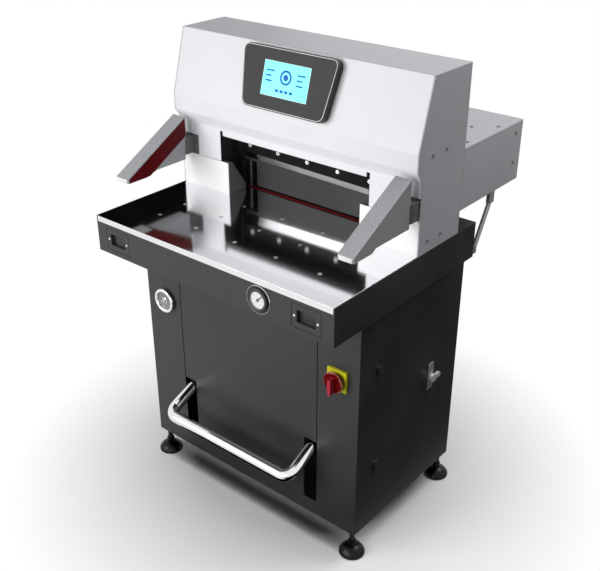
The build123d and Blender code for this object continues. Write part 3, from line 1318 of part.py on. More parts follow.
# Light-barrier arms: a cranked housing with a dark window on its inner side
arm_root = (back(arm_root_from_front), above(arm_root_rise))
arm_tip = (back(arm_tip_from_front), above(arm_tip_rise))
arm_outline = [arm_root, arm_tip, (back(arm_nose_from_front), above(arm_nose_low_rise)),
               (back(arm_nose_back_from_front), above(arm_nose_low_rise)),
               (back(arm_belly_from_front), above(arm_belly_rise)), (arm_root[0], above(arm_belly_rise))]
arm_slope = (arm_root[1] - arm_tip[1]) / (arm_root[0] - arm_tip[0])
window_low_rise = arm_nose_low_rise + window_border
window_corner_y = arm_root[0] - (arm_root[1] - window_band - above(window_low_rise)) / arm_slope
window_outline = [(arm_root[0] - window_border, arm_root[1] - 2 * window_border),
                  (back(arm_nose_from_front) + window_border, above(arm_tip_rise) - window_border),
                  (back(arm_nose_from_front) + window_border, above(window_low_rise)),
                  (window_corner_y, above(window_low_rise)),
                  (arm_root[0] - window_border, arm_root[1] - window_band)]
web_line_y = arm_root[0] - (arm_root[1] - web_drop - above(arm_belly_rise - window_border)) / arm_slope
web_outline = [(arm_root[0] + overrun, arm_root[1] - web_drop + overrun * arm_slope),
               (web_line_y, above(arm_belly_rise - window_border)),
               (arm_root[0] + overrun, above(arm_belly_rise - window_border))]
with BuildPart() as light_arms:
    for side in (-1, 1):
        arm_span = sorted((side * arm_from_middle, side * (arm_from_middle + arm_thickness)))
        prism("X", arm_outline, arm_span)
        hollow = sorted((side * (arm_from_middle - overrun), side * (arm_from_middle + arm_thickness - sheet)))
        prism("X", window_outline, hollow, Mode.SUBTRACT)
        shallow = sorted((side * (arm_from_middle - overrun), side * (arm_from_middle + web_recess)))
        prism("X", web_outline, shallow, Mode.SUBTRACT)
light_arms.part.label = "light_arms"
export_step(light_arms.part, "parts/light_arms.step")

with BuildPart() as light_arm_windows:
    for side in (-1, 1):
        window_span = sorted((side * arm_from_middle, side * (arm_from_middle + window_sheet)))
        prism("X", window_outline, window_span)
light_arm_windows.part.label = "light_arm_windows"
export_step(light_arm_windows.part, "parts/light_arm_windows.step")

bracket_z = (above(bracket_low_rise), above(bracket_low_rise + bracket_height))
with BuildPart() as light_arm_brackets:
    for side in (-1, 1):
        neck_x = sorted((side * bracket_from_middle, side * (bracket_from_middle + bracket_width)))
        block(neck_x, (arm_root[0], column_y[0] + sheet), bracket_z)
        flange_x = sorted((side * (notch_from_middle - bracket_flange_margin), side * cover_half))
        block(flange_x, (column_y[0] + sheet, column_y[0] + sheet + bracket_flange),
              (bracket_z[0] - bracket_flange_margin, bracket_z[1] + bracket_flange_margin))
light_arm_brackets.part.label = "light_arm_brackets"
export_step(light_arm_brackets.part, "parts/light_arm_brackets.step")

# Screws that hold the side panels and the rear guard
panel_screw_ys = (panel_screw_front, panel_screw_back)
panel_screw_rises = (panel_screw_low, panel_screw_high)
panel_screw_points = [(back(y), above(rise)) for y in panel_screw_ys for rise in panel_screw_rises]
guard_screw_y = back(guard_reach - guard_screw_from_end)
panel_screw_points += [(guard_screw_y, above(rise)) for rise in (guard_screw_low, guard_screw_high)]
guard_top_points = ((half_width - guard_edge_from_side, guard_edge_front),
                    (half_width - guard_edge_from_side, guard_reach - guard_edge_from_end),
                    (half_width - guard_inner_from_side, guard_reach - guard_inner_from_end))
guard_screw_points = [(side * x, back(y)) for side in (-1, 1) for x, y in guard_top_points]
with BuildPart() as panel_screws:
    for side in (-1, 1):
        head_x = sorted((side * half_width, side * (half_width + screw_head)))
        bars("X", panel_screw_points, screw_radius, head_x)
    bars("Z", guard_screw_points, screw_radius, (guard_z[1], guard_z[1] + screw_head))
panel_screws.part.label = "panel_screws"
export_step(panel_screws.part, "parts/panel_screws.step")
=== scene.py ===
# %% [markdown]
# # Dressing an automatic paper guillotine
# A guillotine for paper is a black cabinet, a polished table, a light grey head and a knife.
# The CAD model already has every part at its true size and place, with its joints.
# This lesson gives those parts their edges, finishes and small fittings in Blender.
# Nothing here moves a CAD part: a new piece either sits on one or takes its place.

# %% Load the finished assembly
import json
from math import cos, pi, radians, sin

import bmesh
import bpy
from mathutils import Color, Matrix, Vector


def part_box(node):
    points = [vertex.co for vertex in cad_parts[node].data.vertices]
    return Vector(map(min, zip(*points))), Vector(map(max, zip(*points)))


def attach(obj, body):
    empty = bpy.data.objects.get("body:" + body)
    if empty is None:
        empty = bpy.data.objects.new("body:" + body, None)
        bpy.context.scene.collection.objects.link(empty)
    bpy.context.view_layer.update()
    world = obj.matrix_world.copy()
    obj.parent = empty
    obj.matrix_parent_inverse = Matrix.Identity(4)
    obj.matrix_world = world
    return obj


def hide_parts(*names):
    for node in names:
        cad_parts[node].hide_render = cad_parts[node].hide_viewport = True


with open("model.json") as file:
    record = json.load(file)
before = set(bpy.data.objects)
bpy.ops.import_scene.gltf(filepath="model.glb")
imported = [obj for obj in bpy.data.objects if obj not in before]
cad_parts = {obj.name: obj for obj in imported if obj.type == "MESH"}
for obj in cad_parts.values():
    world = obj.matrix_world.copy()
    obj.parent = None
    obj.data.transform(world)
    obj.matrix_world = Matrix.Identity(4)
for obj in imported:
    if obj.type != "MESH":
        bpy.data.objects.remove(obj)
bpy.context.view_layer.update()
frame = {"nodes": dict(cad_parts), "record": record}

MM = 0.001
nodes = frame["nodes"]
bodies = frame["record"]["behaviour"]["bodies"]
body_of = {node: body for body, members in bodies.items() for node in members}

# %% [markdown]
# ## Camera
# The photograph looks down at the front right corner of the machine from above head height.
# A camera could be placed by eye and nudged until it fits.
# Here its place, its turn and its lens come from the corners of the machine, so they are written as
# numbers.

# %% Camera at the photograph's viewpoint
EYE = (1.47053, -1.81313, 1.85798)
EYE_TILT, EYE_TURN = radians(62.087), radians(39.647)
VIEW_ANGLE = radians(36.723)

camera_lens = bpy.data.cameras.new("photo_camera")
camera_lens.sensor_fit = "HORIZONTAL"
camera_lens.angle = VIEW_ANGLE
camera = bpy.data.objects.new("photo_camera", camera_lens)
camera.location = EYE
camera.rotation_euler = (EYE_TILT, 0, EYE_TURN)
bpy.context.scene.collection.objects.link(camera)
bpy.context.scene.camera = camera
print("lens", round(camera_lens.lens, 1), "mm")

# %% [markdown]
# ## How finishes are made
# Real paint, chrome and cast iron are never one flat colour.
# Their tone drifts slowly over a panel, their gloss has faint clouds, and their skin has a fine grain.
# A picture of each material could be wrapped around the parts, but it would need unwrapping and show
# its seams. Each finish below mixes these three from noise that is read at the point of the object,
# so it needs no picture and stays put when the part moves.

# %% Colours as the eye names them
def seen(*levels):
    """Turns a screen colour from 0 to 255 into the light values that Blender mixes."""
    return list(Color([level / 255 for level in levels]).from_srgb_to_scene_linear())


def toned(colour, factor):
    """The same colour made lighter or darker, with full opacity."""
    return [min(1.0, channel * factor) for channel in colour] + [1.0]


print("a screen grey of 128 is mixed as", round(seen(128, 128, 128)[0], 3))

# %% Points, noise, ramps and ranges
MOST_FROM, MOST_TO = 0.3, 0.7


def object_point(tree):
    """Each point in the object's own coordinates."""
    return tree.nodes.new("ShaderNodeTexCoord").outputs["Object"]


def noise(tree, vector, scale, detail=3.0):
    """A cloud of values, most of them between 0.3 and 0.7."""
    cloud = tree.nodes.new("ShaderNodeTexNoise")
    cloud.inputs["Scale"].default_value = scale
    cloud.inputs["Detail"].default_value = detail
    tree.links.new(vector, cloud.inputs["Vector"])
    return cloud.outputs["Fac"]


def ramp(tree, value, stops):
    """Turns values into colours between the given stops."""
    made = tree.nodes.new("ShaderNodeValToRGB")
    band = made.color_ramp
    while len(band.elements) < len(stops):
        band.elements.new(0.5)
    for element, (position, colour) in zip(band.elements, stops):
        element.position = position
        element.color = colour
    tree.links.new(value, made.inputs["Fac"])
    return made.outputs["Color"]


def spread(tree, value, low, high, start=MOST_FROM, end=MOST_TO):
    """Maps the values from start to end, which hold most of a noise, to the range from low to high."""
    made = tree.nodes.new("ShaderNodeMapRange")
    for name, number in (("From Min", start), ("From Max", end), ("To Min", low), ("To Max", high)):
        made.inputs[name].default_value = number
    tree.links.new(value, made.inputs["Value"])
    return made.outputs["Result"]


# %% One recipe for every plain finish
SKIN_STRENGTH = 0.6
SMOOTHEST = 0.02


def finish(name, colour, rough, metal=0.0, drift=0.06, cloud=5.0, grain=900.0, relief=0.02,
           stretch=(1, 1, 1), gloss_drift=0.06, level=0.5):
    """A finish whose tone, gloss and skin vary with place.

    Clouds and grains are counted per metre, and the relief of the skin is in millimetres.
    """
    made = bpy.data.materials.new(name)
    made.use_nodes = True
    tree = made.node_tree
    shader = tree.nodes["Principled BSDF"]
    shader.inputs["Metallic"].default_value = metal
    shader.inputs["Specular IOR Level"].default_value = level
    drawn = tree.nodes.new("ShaderNodeMapping")
    drawn.inputs["Scale"].default_value = stretch
    tree.links.new(object_point(tree), drawn.inputs["Vector"])
    slow = noise(tree, drawn.outputs["Vector"], cloud)
    fine = noise(tree, drawn.outputs["Vector"], grain, 2.0)
    tones = [(MOST_FROM, toned(colour, 1 - drift)), (MOST_TO, toned(colour, 1 + drift))]
    tree.links.new(ramp(tree, slow, tones), shader.inputs["Base Color"])
    gloss = spread(tree, slow, max(SMOOTHEST, rough - gloss_drift), rough + gloss_drift)
    tree.links.new(gloss, shader.inputs["Roughness"])
    bump = tree.nodes.new("ShaderNodeBump")
    bump.inputs["Strength"].default_value = SKIN_STRENGTH
    bump.inputs["Distance"].default_value = relief * MM
    tree.links.new(fine, bump.inputs["Height"])
    tree.links.new(bump.outputs["Normal"], shader.inputs["Normal"])
    return made


def masked(made, mask):
    """Multiplies the tone of a finish by the colours of a mask."""
    tree = made.node_tree
    shader = tree.nodes["Principled BSDF"]
    mix = tree.nodes.new("ShaderNodeMix")
    mix.data_type = "RGBA"
    mix.blend_type = "MULTIPLY"
    mix.inputs["Factor"].default_value = 1.0
    tree.links.new(shader.inputs["Base Color"].links[0].from_socket, mix.inputs["A"])
    tree.links.new(mask, mix.inputs["B"])
    tree.links.new(mix.outputs["Result"], shader.inputs["Base Color"])


def speckled(made, dark, scale):
    """Scatters small grains over a finish, as a splatter coat has, down to a dark share of its tone."""
    tree = made.node_tree
    grains = noise(tree, object_point(tree), scale, 1.0)
    masked(made, ramp(tree, grains, [(0.36, toned([dark] * 3, 1)), (0.64, (1, 1, 1, 1))]))


# %% [markdown]
# ## Paints
# Sheet metal machines are powder coated: the paint is sprayed on as dust and baked, which leaves a
# fine orange-peel skin and a satin gloss. The head covers are a cool light grey, the side panels a
# middle grey and the cabinet black. The skin could be modelled, but it is a few hundredths of a
# millimetre high, so it is left to the bump. The arms have a splatter coat: a second, coarser noise.

# %% Powder coats
cover_paint = finish("cover_light_grey", (0.80, 0.81, 0.83), 0.42, drift=0.02, grain=1100, relief=0.05)
# The column covers wear the cover grey made paler: painted light, for the light that the polished table
# throws up onto them.
column_grey_painted_bounce_light = finish("column_grey_with_painted_bounce_light", (0.93, 0.935, 0.945), 0.42, drift=0.02, grain=1100,
                      relief=0.05)
panel_paint = finish("panel_grey", (0.53, 0.54, 0.56), 0.5, drift=0.04, grain=1000, relief=0.06,
                     level=0.3)
inner_paint = finish("casting_grey", (0.036, 0.037, 0.039), 0.5, drift=0.12, grain=600, relief=0.12,
                     level=0.2)
guide_paint = finish("guide_grey", (0.15, 0.151, 0.155), 0.5, drift=0.1, grain=700, relief=0.1,
                     level=0.25)
black_paint = finish("cabinet_black", (0.031, 0.031, 0.032), 0.42, drift=0.1, grain=900, relief=0.05,
                     level=0.34)
carrier_black = finish("carrier_black", (0.008, 0.008, 0.009), 0.5, drift=0.2, grain=700, relief=0.08,
                       level=0.05)
control_paint = finish("control_box_grey", (0.42, 0.43, 0.43), 0.5, drift=0.04, grain=1000, relief=0.05)
arm_paint = finish("arm_speckled_grey", (0.46, 0.465, 0.48), 0.5, drift=0.05, grain=1000, relief=0.08,
                   level=0.25)
bracket_paint = finish("bracket_grey", (0.17, 0.172, 0.178), 0.5, drift=0.08, grain=1000, relief=0.08,
                       level=0.3)
speckled(arm_paint, 0.72, 420)
speckled(bracket_paint, 0.45, 300)
print("finishes with the slots of the CAD model:", len(bpy.data.materials))

# %% [markdown]
# ## Metals
# Bare metal shows how it was worked. A table is ground and plated, so its clouds are long and thin
# along the grinding direction. Chrome tube is polished round. Cast and milled parts are duller.
# Each could have a node tree of its own. The same recipe does all of them, because only the stretch,
# the gloss and the grain change.

# %% Worked metals
table_chrome = finish("table_hard_chrome", (0.82, 0.82, 0.83), 0.08, 1.0, drift=0.03, cloud=4, grain=260,
                      relief=0.004, stretch=(0.35, 3.0, 1), gloss_drift=0.03)
chrome = finish("tube_chrome", (0.80, 0.80, 0.81), 0.07, 1.0, drift=0.03, cloud=9, grain=500,
                relief=0.003, gloss_drift=0.03)
steel = finish("bright_steel", (0.56, 0.565, 0.57), 0.28, 1.0, drift=0.08, cloud=20, grain=900,
               relief=0.01)
dull_zinc = finish("zinc_plate", (0.42, 0.425, 0.43), 0.4, 0.4, drift=0.12, cloud=40, grain=700,
                   relief=0.02)
milled_iron = finish("milled_iron", (0.23, 0.235, 0.24), 0.38, 0.9, drift=0.12, cloud=12, grain=500,
                     relief=0.03, stretch=(1, 1, 4))
cast_aluminium = finish("cast_aluminium", (0.50, 0.51, 0.52), 0.45, 0.8, drift=0.08, cloud=16, grain=420,
                        relief=0.08)
dark_steel = finish("oiled_dark_steel", (0.05, 0.05, 0.053), 0.4, 0.8, drift=0.2, cloud=30, grain=700,
                    relief=0.02)
lock_grey = finish("lock_plate_grey", (0.46, 0.465, 0.47), 0.4, 0.1, drift=0.2, cloud=60, grain=500,
                   relief=0.1)
speckled(lock_grey, 0.35, 260)
bright_head = finish("bright_bolt_head", (0.86, 0.86, 0.87), 0.22, 0.3, drift=0.05, cloud=60, grain=900)
panel_screw_grey = finish("panel_screw_grey", (0.26, 0.265, 0.27), 0.45, drift=0.15, cloud=60, grain=700,
                          level=0.3)
# Near-black for the floors of sockets, wells and slots: painted shade in recesses.
painted_recess_shade = finish("painted_recess_shade", (0.008, 0.008, 0.008), 0.7, drift=0.3, cloud=60)
print("with the metals:", len(bpy.data.materials))

# %% [markdown]
# ## Plastics, screen and glass
# The feet and the display case are moulded black plastic, the switch is a red handle on a yellow
# plate, and the long windows of the arms are dark red acrylic that lets the light barrier through.
# They could be clear, but nothing shows behind acrylic this dark, so a glossy dark red does.
# The screen shines by itself, so its finish adds a little emission that a lamp could not give.

# %% Moulded pieces
foot_plastic = finish("foot_plastic", (0.004, 0.004, 0.005), 0.3, drift=0.2, grain=500, relief=0.02,
                      level=0.2)
case_black = finish("display_case_black", (0.012, 0.012, 0.013), 0.42, drift=0.15, grain=1400,
                    relief=0.03)
fascia_grey = finish("display_fascia_grey", (0.058, 0.057, 0.056), 0.5, drift=0.04, grain=1500,
                     relief=0.02, level=0.12)
outline_grey = finish("outline_light_grey", (0.62, 0.62, 0.61), 0.4, drift=0.03)
switch_yellow = finish("switch_yellow", (0.60, 0.56, 0.02), 0.4, drift=0.05, cloud=30, grain=900,
                       relief=0.02, level=0.1)
switch_red = finish("switch_red", (0.11, 0.001, 0.002), 0.3, drift=0.08, cloud=30, grain=900,
                    relief=0.02, level=0.03)
# Lighter copies of the knob's red for its grip and its rim: painted highlights.
switch_grip_painted_highlight = finish("switch_grip_painted_highlight", (0.46, 0.03, 0.055), 0.35, drift=0.08, cloud=30, grain=900,
                         relief=0.02, level=0.12)
switch_rim_painted_highlight = finish("switch_rim_painted_highlight", (0.55, 0.17, 0.13), 0.4, drift=0.08, cloud=30, grain=900,
                        relief=0.02)
stick_red = finish("stick_red", (0.25, 0.010, 0.014), 0.5, drift=0.12, cloud=30, grain=600,
                   stretch=(0.3, 2, 2))
window_red = finish("window_dark_red", (0.105, 0.002, 0.004), 0.3, drift=0.15, cloud=10, grain=300,
                    relief=0.004, level=0.12)
window_rim = finish("window_rim_dark", (0.035, 0.006, 0.007), 0.4, drift=0.1, level=0.2)
cap_cream = finish("cap_cream", (0.80, 0.79, 0.75), 0.4, drift=0.03, cloud=30)
dial_white = finish("dial_white", (0.86, 0.86, 0.85), 0.4, drift=0.02, cloud=40)
mark_black = finish("mark_black", (0.01, 0.01, 0.01), 0.45, drift=0.2, cloud=60)
mark_red = finish("mark_red", (0.55, 0.01, 0.01), 0.4, drift=0.1, cloud=60)
print("with the plastics:", len(bpy.data.materials))


# %% Colours that shine
def shining(name, low, high, strength):
    """A screen colour that glows a little and drifts between two tones."""
    made = finish(name, low, 0.25, drift=0.02, level=0.12)
    tree = made.node_tree
    shader = tree.nodes["Principled BSDF"]
    clouds = noise(tree, object_point(tree), 9, 1)
    glow = ramp(tree, clouds, [(MOST_FROM, toned(low, 1)), (MOST_TO, toned(high, 1))])
    tree.links.new(glow, shader.inputs["Base Color"])
    tree.links.new(glow, shader.inputs["Emission Color"])
    shader.inputs["Emission Strength"].default_value = strength
    return made


screen_cyan = shining("screen_cyan", seen(128, 250, 246), seen(146, 255, 252), 0.55)
screen_blue = shining("screen_blue", seen(0, 84, 176), seen(8, 100, 192), 0.3)
lamp_red = shining("lamp_red", (0.25, 0.01, 0.01), (0.32, 0.015, 0.015), 0.15)
print("with the screen:", len(bpy.data.materials))

# %% Clear lens of the gauge
clear_lens = bpy.data.materials.new("gauge_lens")
clear_lens.use_nodes = True
lens_tree = clear_lens.node_tree
lens_shader = lens_tree.nodes["Principled BSDF"]
lens_shader.inputs["Base Color"].default_value = (0.9, 0.93, 0.93, 1)
lens_shader.inputs["Alpha"].default_value = 0.10
lens_shader.inputs["IOR"].default_value = 1.5
wiped = spread(lens_tree, noise(lens_tree, object_point(lens_tree), 60), 0.02, 0.07)
lens_tree.links.new(wiped, lens_shader.inputs["Roughness"])
print("with the lens:", len(bpy.data.materials))

# %% [markdown]
# ## Tools for making pieces
# A bmesh is a mesh in the making. It starts from one simple shape, and operators shape it: bevel
# rounds edges, spin turns a profile, inset and extrude cut steps. Lists of points and faces could be
# typed instead, but an operator says what a maker would do. The helpers below keep the same habits
# for every piece: normals outward, curved faces smooth, corners sharp, and one body to ride on.

# %% Finish a bmesh as an object
SHARP_TURN = radians(32)
pieces = {}


def as_object(name, bm, looks):
    """Turns a bmesh into an object at the origin, with its finishes in order."""
    mesh = bpy.data.meshes.new(name)
    bm.to_mesh(mesh)
    bm.free()
    for look in looks:
        mesh.materials.append(look)
    made = bpy.data.objects.new(name, mesh)
    bpy.context.scene.collection.objects.link(made)
    return made


def put(name, bm, looks, body, stands_for=()):
    """Closes a bmesh into a piece that rides on a body and may stand for CAD nodes."""
    bmesh.ops.recalc_face_normals(bm, faces=bm.faces)
    piece = as_object(name, bm, looks if isinstance(looks, list) else [looks])
    piece.data.shade_smooth()
    piece.data.set_sharp_from_angle(angle=SHARP_TURN)
    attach(piece, body)
    if stands_for:
        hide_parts(*stands_for)
    pieces[name] = piece
    return piece


def dress(look, *names):
    """Gives CAD nodes that stay a finish in place of their plain slot colour."""
    for name in names:
        for slot in nodes[name].material_slots:
            slot.material = look


# %% Places in millimetres
FACING = {"up": Matrix.Identity(4),
          "front": Matrix.Rotation(radians(90), 4, "X"),
          "back": Matrix.Rotation(radians(-90), 4, "X"),
          "right": Matrix.Rotation(radians(90), 4, "Y"),
          "left": Matrix.Rotation(radians(-90), 4, "Y")}


def shifted(x, y, z):
    """A move by so many millimetres."""
    return Matrix.Translation((x * MM, y * MM, z * MM))


def standing(x, y, z, facing):
    """A place with its outward direction, for shapes that are drawn facing up."""
    return shifted(x, y, z) @ FACING[facing]


def middle_of(name):
    """The middle of a CAD node's box, as x, y and z."""
    return [(low + high) / 2 / MM for low, high in zip(*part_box(name))]


# %% Shapes that pieces start from
def slab(bm, low, high, rounding=0.0, steps=3, place=Matrix.Identity(4)):
    """A block between two corners in millimetres, with its edges rounded."""
    low, high = Vector(low) * MM, Vector(high) * MM
    fit = Matrix.Translation((low + high) / 2) @ Matrix.Diagonal((*(high - low), 1))
    verts = bmesh.ops.create_cube(bm, size=1, matrix=fit)["verts"]
    if rounding:
        edges = {edge for vert in verts for edge in vert.link_edges}
        made = bmesh.ops.bevel(bm, geom=list(edges), affect="EDGES", offset=rounding * MM, segments=steps,
                               profile=0.5, material=-1, clamp_overlap=True)
        rounded = {vert for face in made["faces"] for vert in face.verts}
        verts = list(rounded | {vert for vert in verts if vert.is_valid})
    bmesh.ops.transform(bm, matrix=place, verts=verts)


def turned(bm, profile, place, steps=48):
    """Spins a profile of (radius, height) points in millimetres about the upright axis of a place."""
    verts = [bm.verts.new((radius * MM, 0, height * MM)) for radius, height in profile]
    edges = [bm.edges.new(pair) for pair in zip(verts, verts[1:])]
    before = set(bm.verts) - set(verts)
    bmesh.ops.spin(bm, geom=verts + edges, axis=(0, 0, 1), cent=(0, 0, 0), steps=steps, angle=2 * pi,
                   use_merge=True)
    made = [vert for vert in bm.verts if vert not in before]
    bmesh.ops.remove_doubles(bm, verts=made, dist=0.002 * MM)
    made = [vert for vert in bm.verts if vert not in before]
    bmesh.ops.transform(bm, matrix=place, verts=made)


def turned_disc(bm, radius, start, end, place, steps):
    """A flat disc between two heights."""
    turned(bm, [(0, start), (radius, start), (radius, end), (0, end)], place, steps)


def turned_ring(bm, bore, radius, start, end, place, steps):
    """A flat ring between two heights."""
    turned(bm, [(bore, start), (radius, start), (radius, end), (bore, end), (bore, start)], place, steps)


# %% Reading the CAD meshes
SAME_POINT = 0.005 * MM


def cad_copy(name):
    """A CAD node's mesh as a bmesh, with its loose triangles merged at their corners."""
    bm = bmesh.new()
    bm.from_mesh(nodes[name].data)
    bmesh.ops.remove_doubles(bm, verts=bm.verts, dist=SAME_POINT)
    return bm


def solids(name):
    """The boxes in millimetres of the separate solids in a CAD node, so fittings land on each of them."""
    bm = cad_copy(name)
    left, found = set(bm.verts), []
    while left:
        reach = [left.pop()]
        for vert in reach:
            for edge in vert.link_edges:
                other = edge.other_vert(vert)
                if other in left:
                    left.discard(other)
                    reach.append(other)
        spots = [vert.co / MM for vert in reach]
        corners = [[most(spot[axis] for spot in spots) for axis in range(3)] for most in (min, max)]
        found.append([Vector(corner) for corner in corners])
    bm.free()
    return sorted(found, key=lambda pair: tuple(round(value) for value in pair[0]))


print("panel screws in the CAD model:", len(solids("panel_screws")))

# %% [markdown]
# ## Easing sharp CAD edges
# A folded sheet has a bend radius and a machined block has a broken edge, and both catch a thin line
# of light. CAD edges are perfectly sharp and never do. The CAD could round every edge, but its meshes
# would be many times as heavy. Here a copy of the CAD mesh is merged and its flat triangles are
# joined, and then a Bevel modifier rounds only the edges that turn by more than 30 degrees. The copy
# replaces the CAD node, so the shape stays where the model has it. The arms keep their triangles,
# because the narrow ring around each window, once it is one face, overlaps itself when bevelled.

# %% Copies with eased edges
FLAT_TURN, EDGE_TURN = radians(0.6), radians(30)


def eased(name, look, width, steps=2, extra=(), joined=True):
    """Replaces a CAD node with a copy of it whose sharp edges are rounded, with a width in millimetres."""
    bm = cad_copy(name)
    if joined:
        bmesh.ops.dissolve_limit(bm, angle_limit=FLAT_TURN, verts=bm.verts, edges=bm.edges)
    piece = put(name + "_eased", bm, [look, *extra], body_of[name], (name,))
    rounding = piece.modifiers.new("eased_edges", "BEVEL")
    rounding.width = width * MM
    rounding.segments = steps
    rounding.limit_method = "ANGLE"
    rounding.angle_limit = EDGE_TURN
    rounding.harden_normals = True
    return piece


EDGE_WIDTHS = (
    (cover_paint, {"head_front_cover": 1.6}),
    (column_grey_painted_bounce_light, {"column_covers": 0.7}),
    (panel_paint, {"head_top_cover": 1.0, "left_side_panel": 1.2, "right_side_panel": 1.2,
                   "head_back_panel": 1.0, "rear_guard": 1.8}),
    (black_paint, {"table_frame": 1.2, "cabinet_shell": 1.0, "front_access_panel": 0.9, "side_door": 0.6,
                   "left_drawer": 0.8, "right_drawer": 0.8}),
    (bracket_paint, {"light_arm_brackets": 1.0}),
    (inner_paint, {"clamp_beam": 1.5, "rear_table": 1.0}),
    (guide_paint, {"side_guides": 1.0}),
    (table_chrome, {"work_table": 0.9}))
for look, widths in EDGE_WIDTHS:
    for name, width in widths.items():
        eased(name, look, width)
eased("light_arms", arm_paint, 0.6, joined=False)
knob = eased("switch_knob", switch_red, 1.2, 3, (switch_grip_painted_highlight, switch_rim_painted_highlight))
eased("switch_plate", switch_yellow, 0.8)
print(len(pieces), "eased pieces")

# %% [markdown]
# ## Painted highlights on the switch
# The disc of the switch is deep red. Its rim is painted paler and its grip brighter, as painted highlights
# where they catch the light. Three pieces could have three finishes, but this is one moulding, so the
# finish is chosen face by face: by depth for the grip and by distance from the axle for the rim.

# %% Grip and rim faces of the knob
# The grip and rim faces take the painted highlight reds.
GRIP_HIGHLIGHT_SLOT, RIM_HIGHLIGHT_SLOT = 1, 2
GRIP_DEPTH = 14.5
RIM_START = 28.7
axle_x, _, axle_z = middle_of("switch_plate")
grip_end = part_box("switch_knob")[0].y / MM + GRIP_DEPTH
for face in knob.data.polygons:
    spot = face.center / MM
    if spot.y < grip_end:
        face.material_index = GRIP_HIGHLIGHT_SLOT
    elif Vector((spot.x - axle_x, spot.z - axle_z)).length > RIM_START:
        face.material_index = RIM_HIGHLIGHT_SLOT
print("knob faces", len(knob.data.polygons))

# %% [markdown]
# ## Parts that keep their CAD mesh
# Tubes, cylinders and everything inside the machine already have the right shape. They could be
# modelled again, but that would only repeat the CAD model. They need nothing but their finish, which
# goes into the material slots that the CAD mesh has.

# %% Finishes for the CAD nodes that stay
dress(chrome, "foot_bar")
dress(bright_head, "door_handle")
dress(steel, "knife_rod", "lead_screw", "pedal_shaft", "gauge_rails", "air_nozzles")
dress(dull_zinc, "guard_struts")
dress(dark_steel, "clamp_drawbars", "foot_studs")
dress(milled_iron, "back_gauge", "clamp_cylinder", "knife_cylinder", "valve_block")
dress(cast_aluminium, "air_blower", "air_manifold", "gauge_motor", "pump_motor")
dress(black_paint, "base_plate", "pedal_bearings", "door_hinge_pins", "rear_vent_panel")
dress(inner_paint, "clamp_yoke", "crown_beam", "oil_tank", "side_frames")
dress(carrier_black, "knife_carrier")
dress(control_paint, "control_box")
dress(foot_plastic, "foot_pads")
dress(stick_red, "cutting_stick")
dress(mark_black, "gauge_pointer")
dress(case_black, "display_housing")
print("the foot bar has", nodes["foot_bar"].material_slots[0].material.name)

# %% [markdown]
# ## Knife
# The knife is ground from a bar. Near both ends it is painted dark: painted shade, where the ends sit in
# the dark between the side guides.
# Two short dark pieces could lie over the ends. A mask on the X coordinate paints that shade instead,
# because it is a change of finish and not of shape.

# %% Knife finish with painted shade at its ends
# Beyond this distance from the middle, the knife is painted dark: painted shade at both ends.
UNSHADED_END, PAINTED_SHADE_START = 196 * MM, 199 * MM
PAINTED_SHADE_TONE = (0.05, 0.05, 0.05, 1)


def math_step(tree, operation, *values):
    """One step of arithmetic on sockets."""
    made = tree.nodes.new("ShaderNodeMath")
    made.operation = operation
    for socket, value in zip(made.inputs, values):
        tree.links.new(value, socket)
    return made.outputs["Value"]


knife_steel = finish("knife_ground_steel", (0.60, 0.60, 0.61), 0.3, 0.9, drift=0.04, cloud=10, grain=700,
                     relief=0.01, stretch=(1, 1, 6))
knife_tree = knife_steel.node_tree
knife_point = knife_tree.nodes.new("ShaderNodeSeparateXYZ")
knife_tree.links.new(object_point(knife_tree), knife_point.inputs["Vector"])
from_middle = math_step(knife_tree, "ABSOLUTE", knife_point.outputs["X"])
masked(knife_steel, ramp(knife_tree, from_middle, [(UNSHADED_END, (1, 1, 1, 1)), (PAINTED_SHADE_START, PAINTED_SHADE_TONE)]))
dress(knife_steel, "knife_blade")
print("the knife is bright for", round(2 * UNSHADED_END / MM), "mm")

# %% [markdown]
# ## Screws and bolts
# A pan head screw is a turned shape with a socket in its top. A full screw with its thread could be
# modelled once and copied, but only the head ever shows. So one small profile is spun with few steps,
# at the place that each CAD screw has.

# %% Heads on the panel screws
SOCKET_SHARE = 0.42
PANEL_HEAD = 5.5


def screw_head(bm, spot, facing, radius, height):
    """A pan head with a round socket, drawn facing outward at a spot in millimetres."""
    inner = radius * SOCKET_SHARE
    profile = [(0, height * 0.35), (inner, height * 0.35), (inner, height), (radius * 0.72, height),
               (radius * 0.93, height * 0.75), (radius, height * 0.35), (radius, -0.2), (0, -0.2)]
    turned(bm, profile, standing(*spot, facing), 20)


def screws(name, look, body, spots, radius, height, stands_for=()):
    """One object with a head at each (spot, facing)."""
    bm = bmesh.new()
    for spot, facing in spots:
        screw_head(bm, spot, facing, radius, height)
    put(name, bm, look, body, stands_for)


panel_spots = []
for low, high in solids("panel_screws"):
    middle, size = (low + high) / 2, high - low
    if size.z < size.x:
        panel_spots.append(((middle.x, middle.y, low.z), "up"))
    elif middle.x > 0:
        panel_spots.append(((low.x, middle.y, middle.z), "right"))
    else:
        panel_spots.append(((high.x, middle.y, middle.z), "left"))
screws("panel_screw_heads", panel_screw_grey, "frame", panel_spots, PANEL_HEAD, 1.5, ("panel_screws",))
# A black disc at the bottom of each screw socket is painted shade.
sockets = bmesh.new()
for spot, facing in panel_spots:
    turned_disc(sockets, SOCKET_SHARE * PANEL_HEAD, 0.8, 0.4, standing(*spot, facing), 20)
put("panel_screw_socket_shade", sockets, painted_recess_shade, "frame")
print(len(panel_spots), "panel screws")

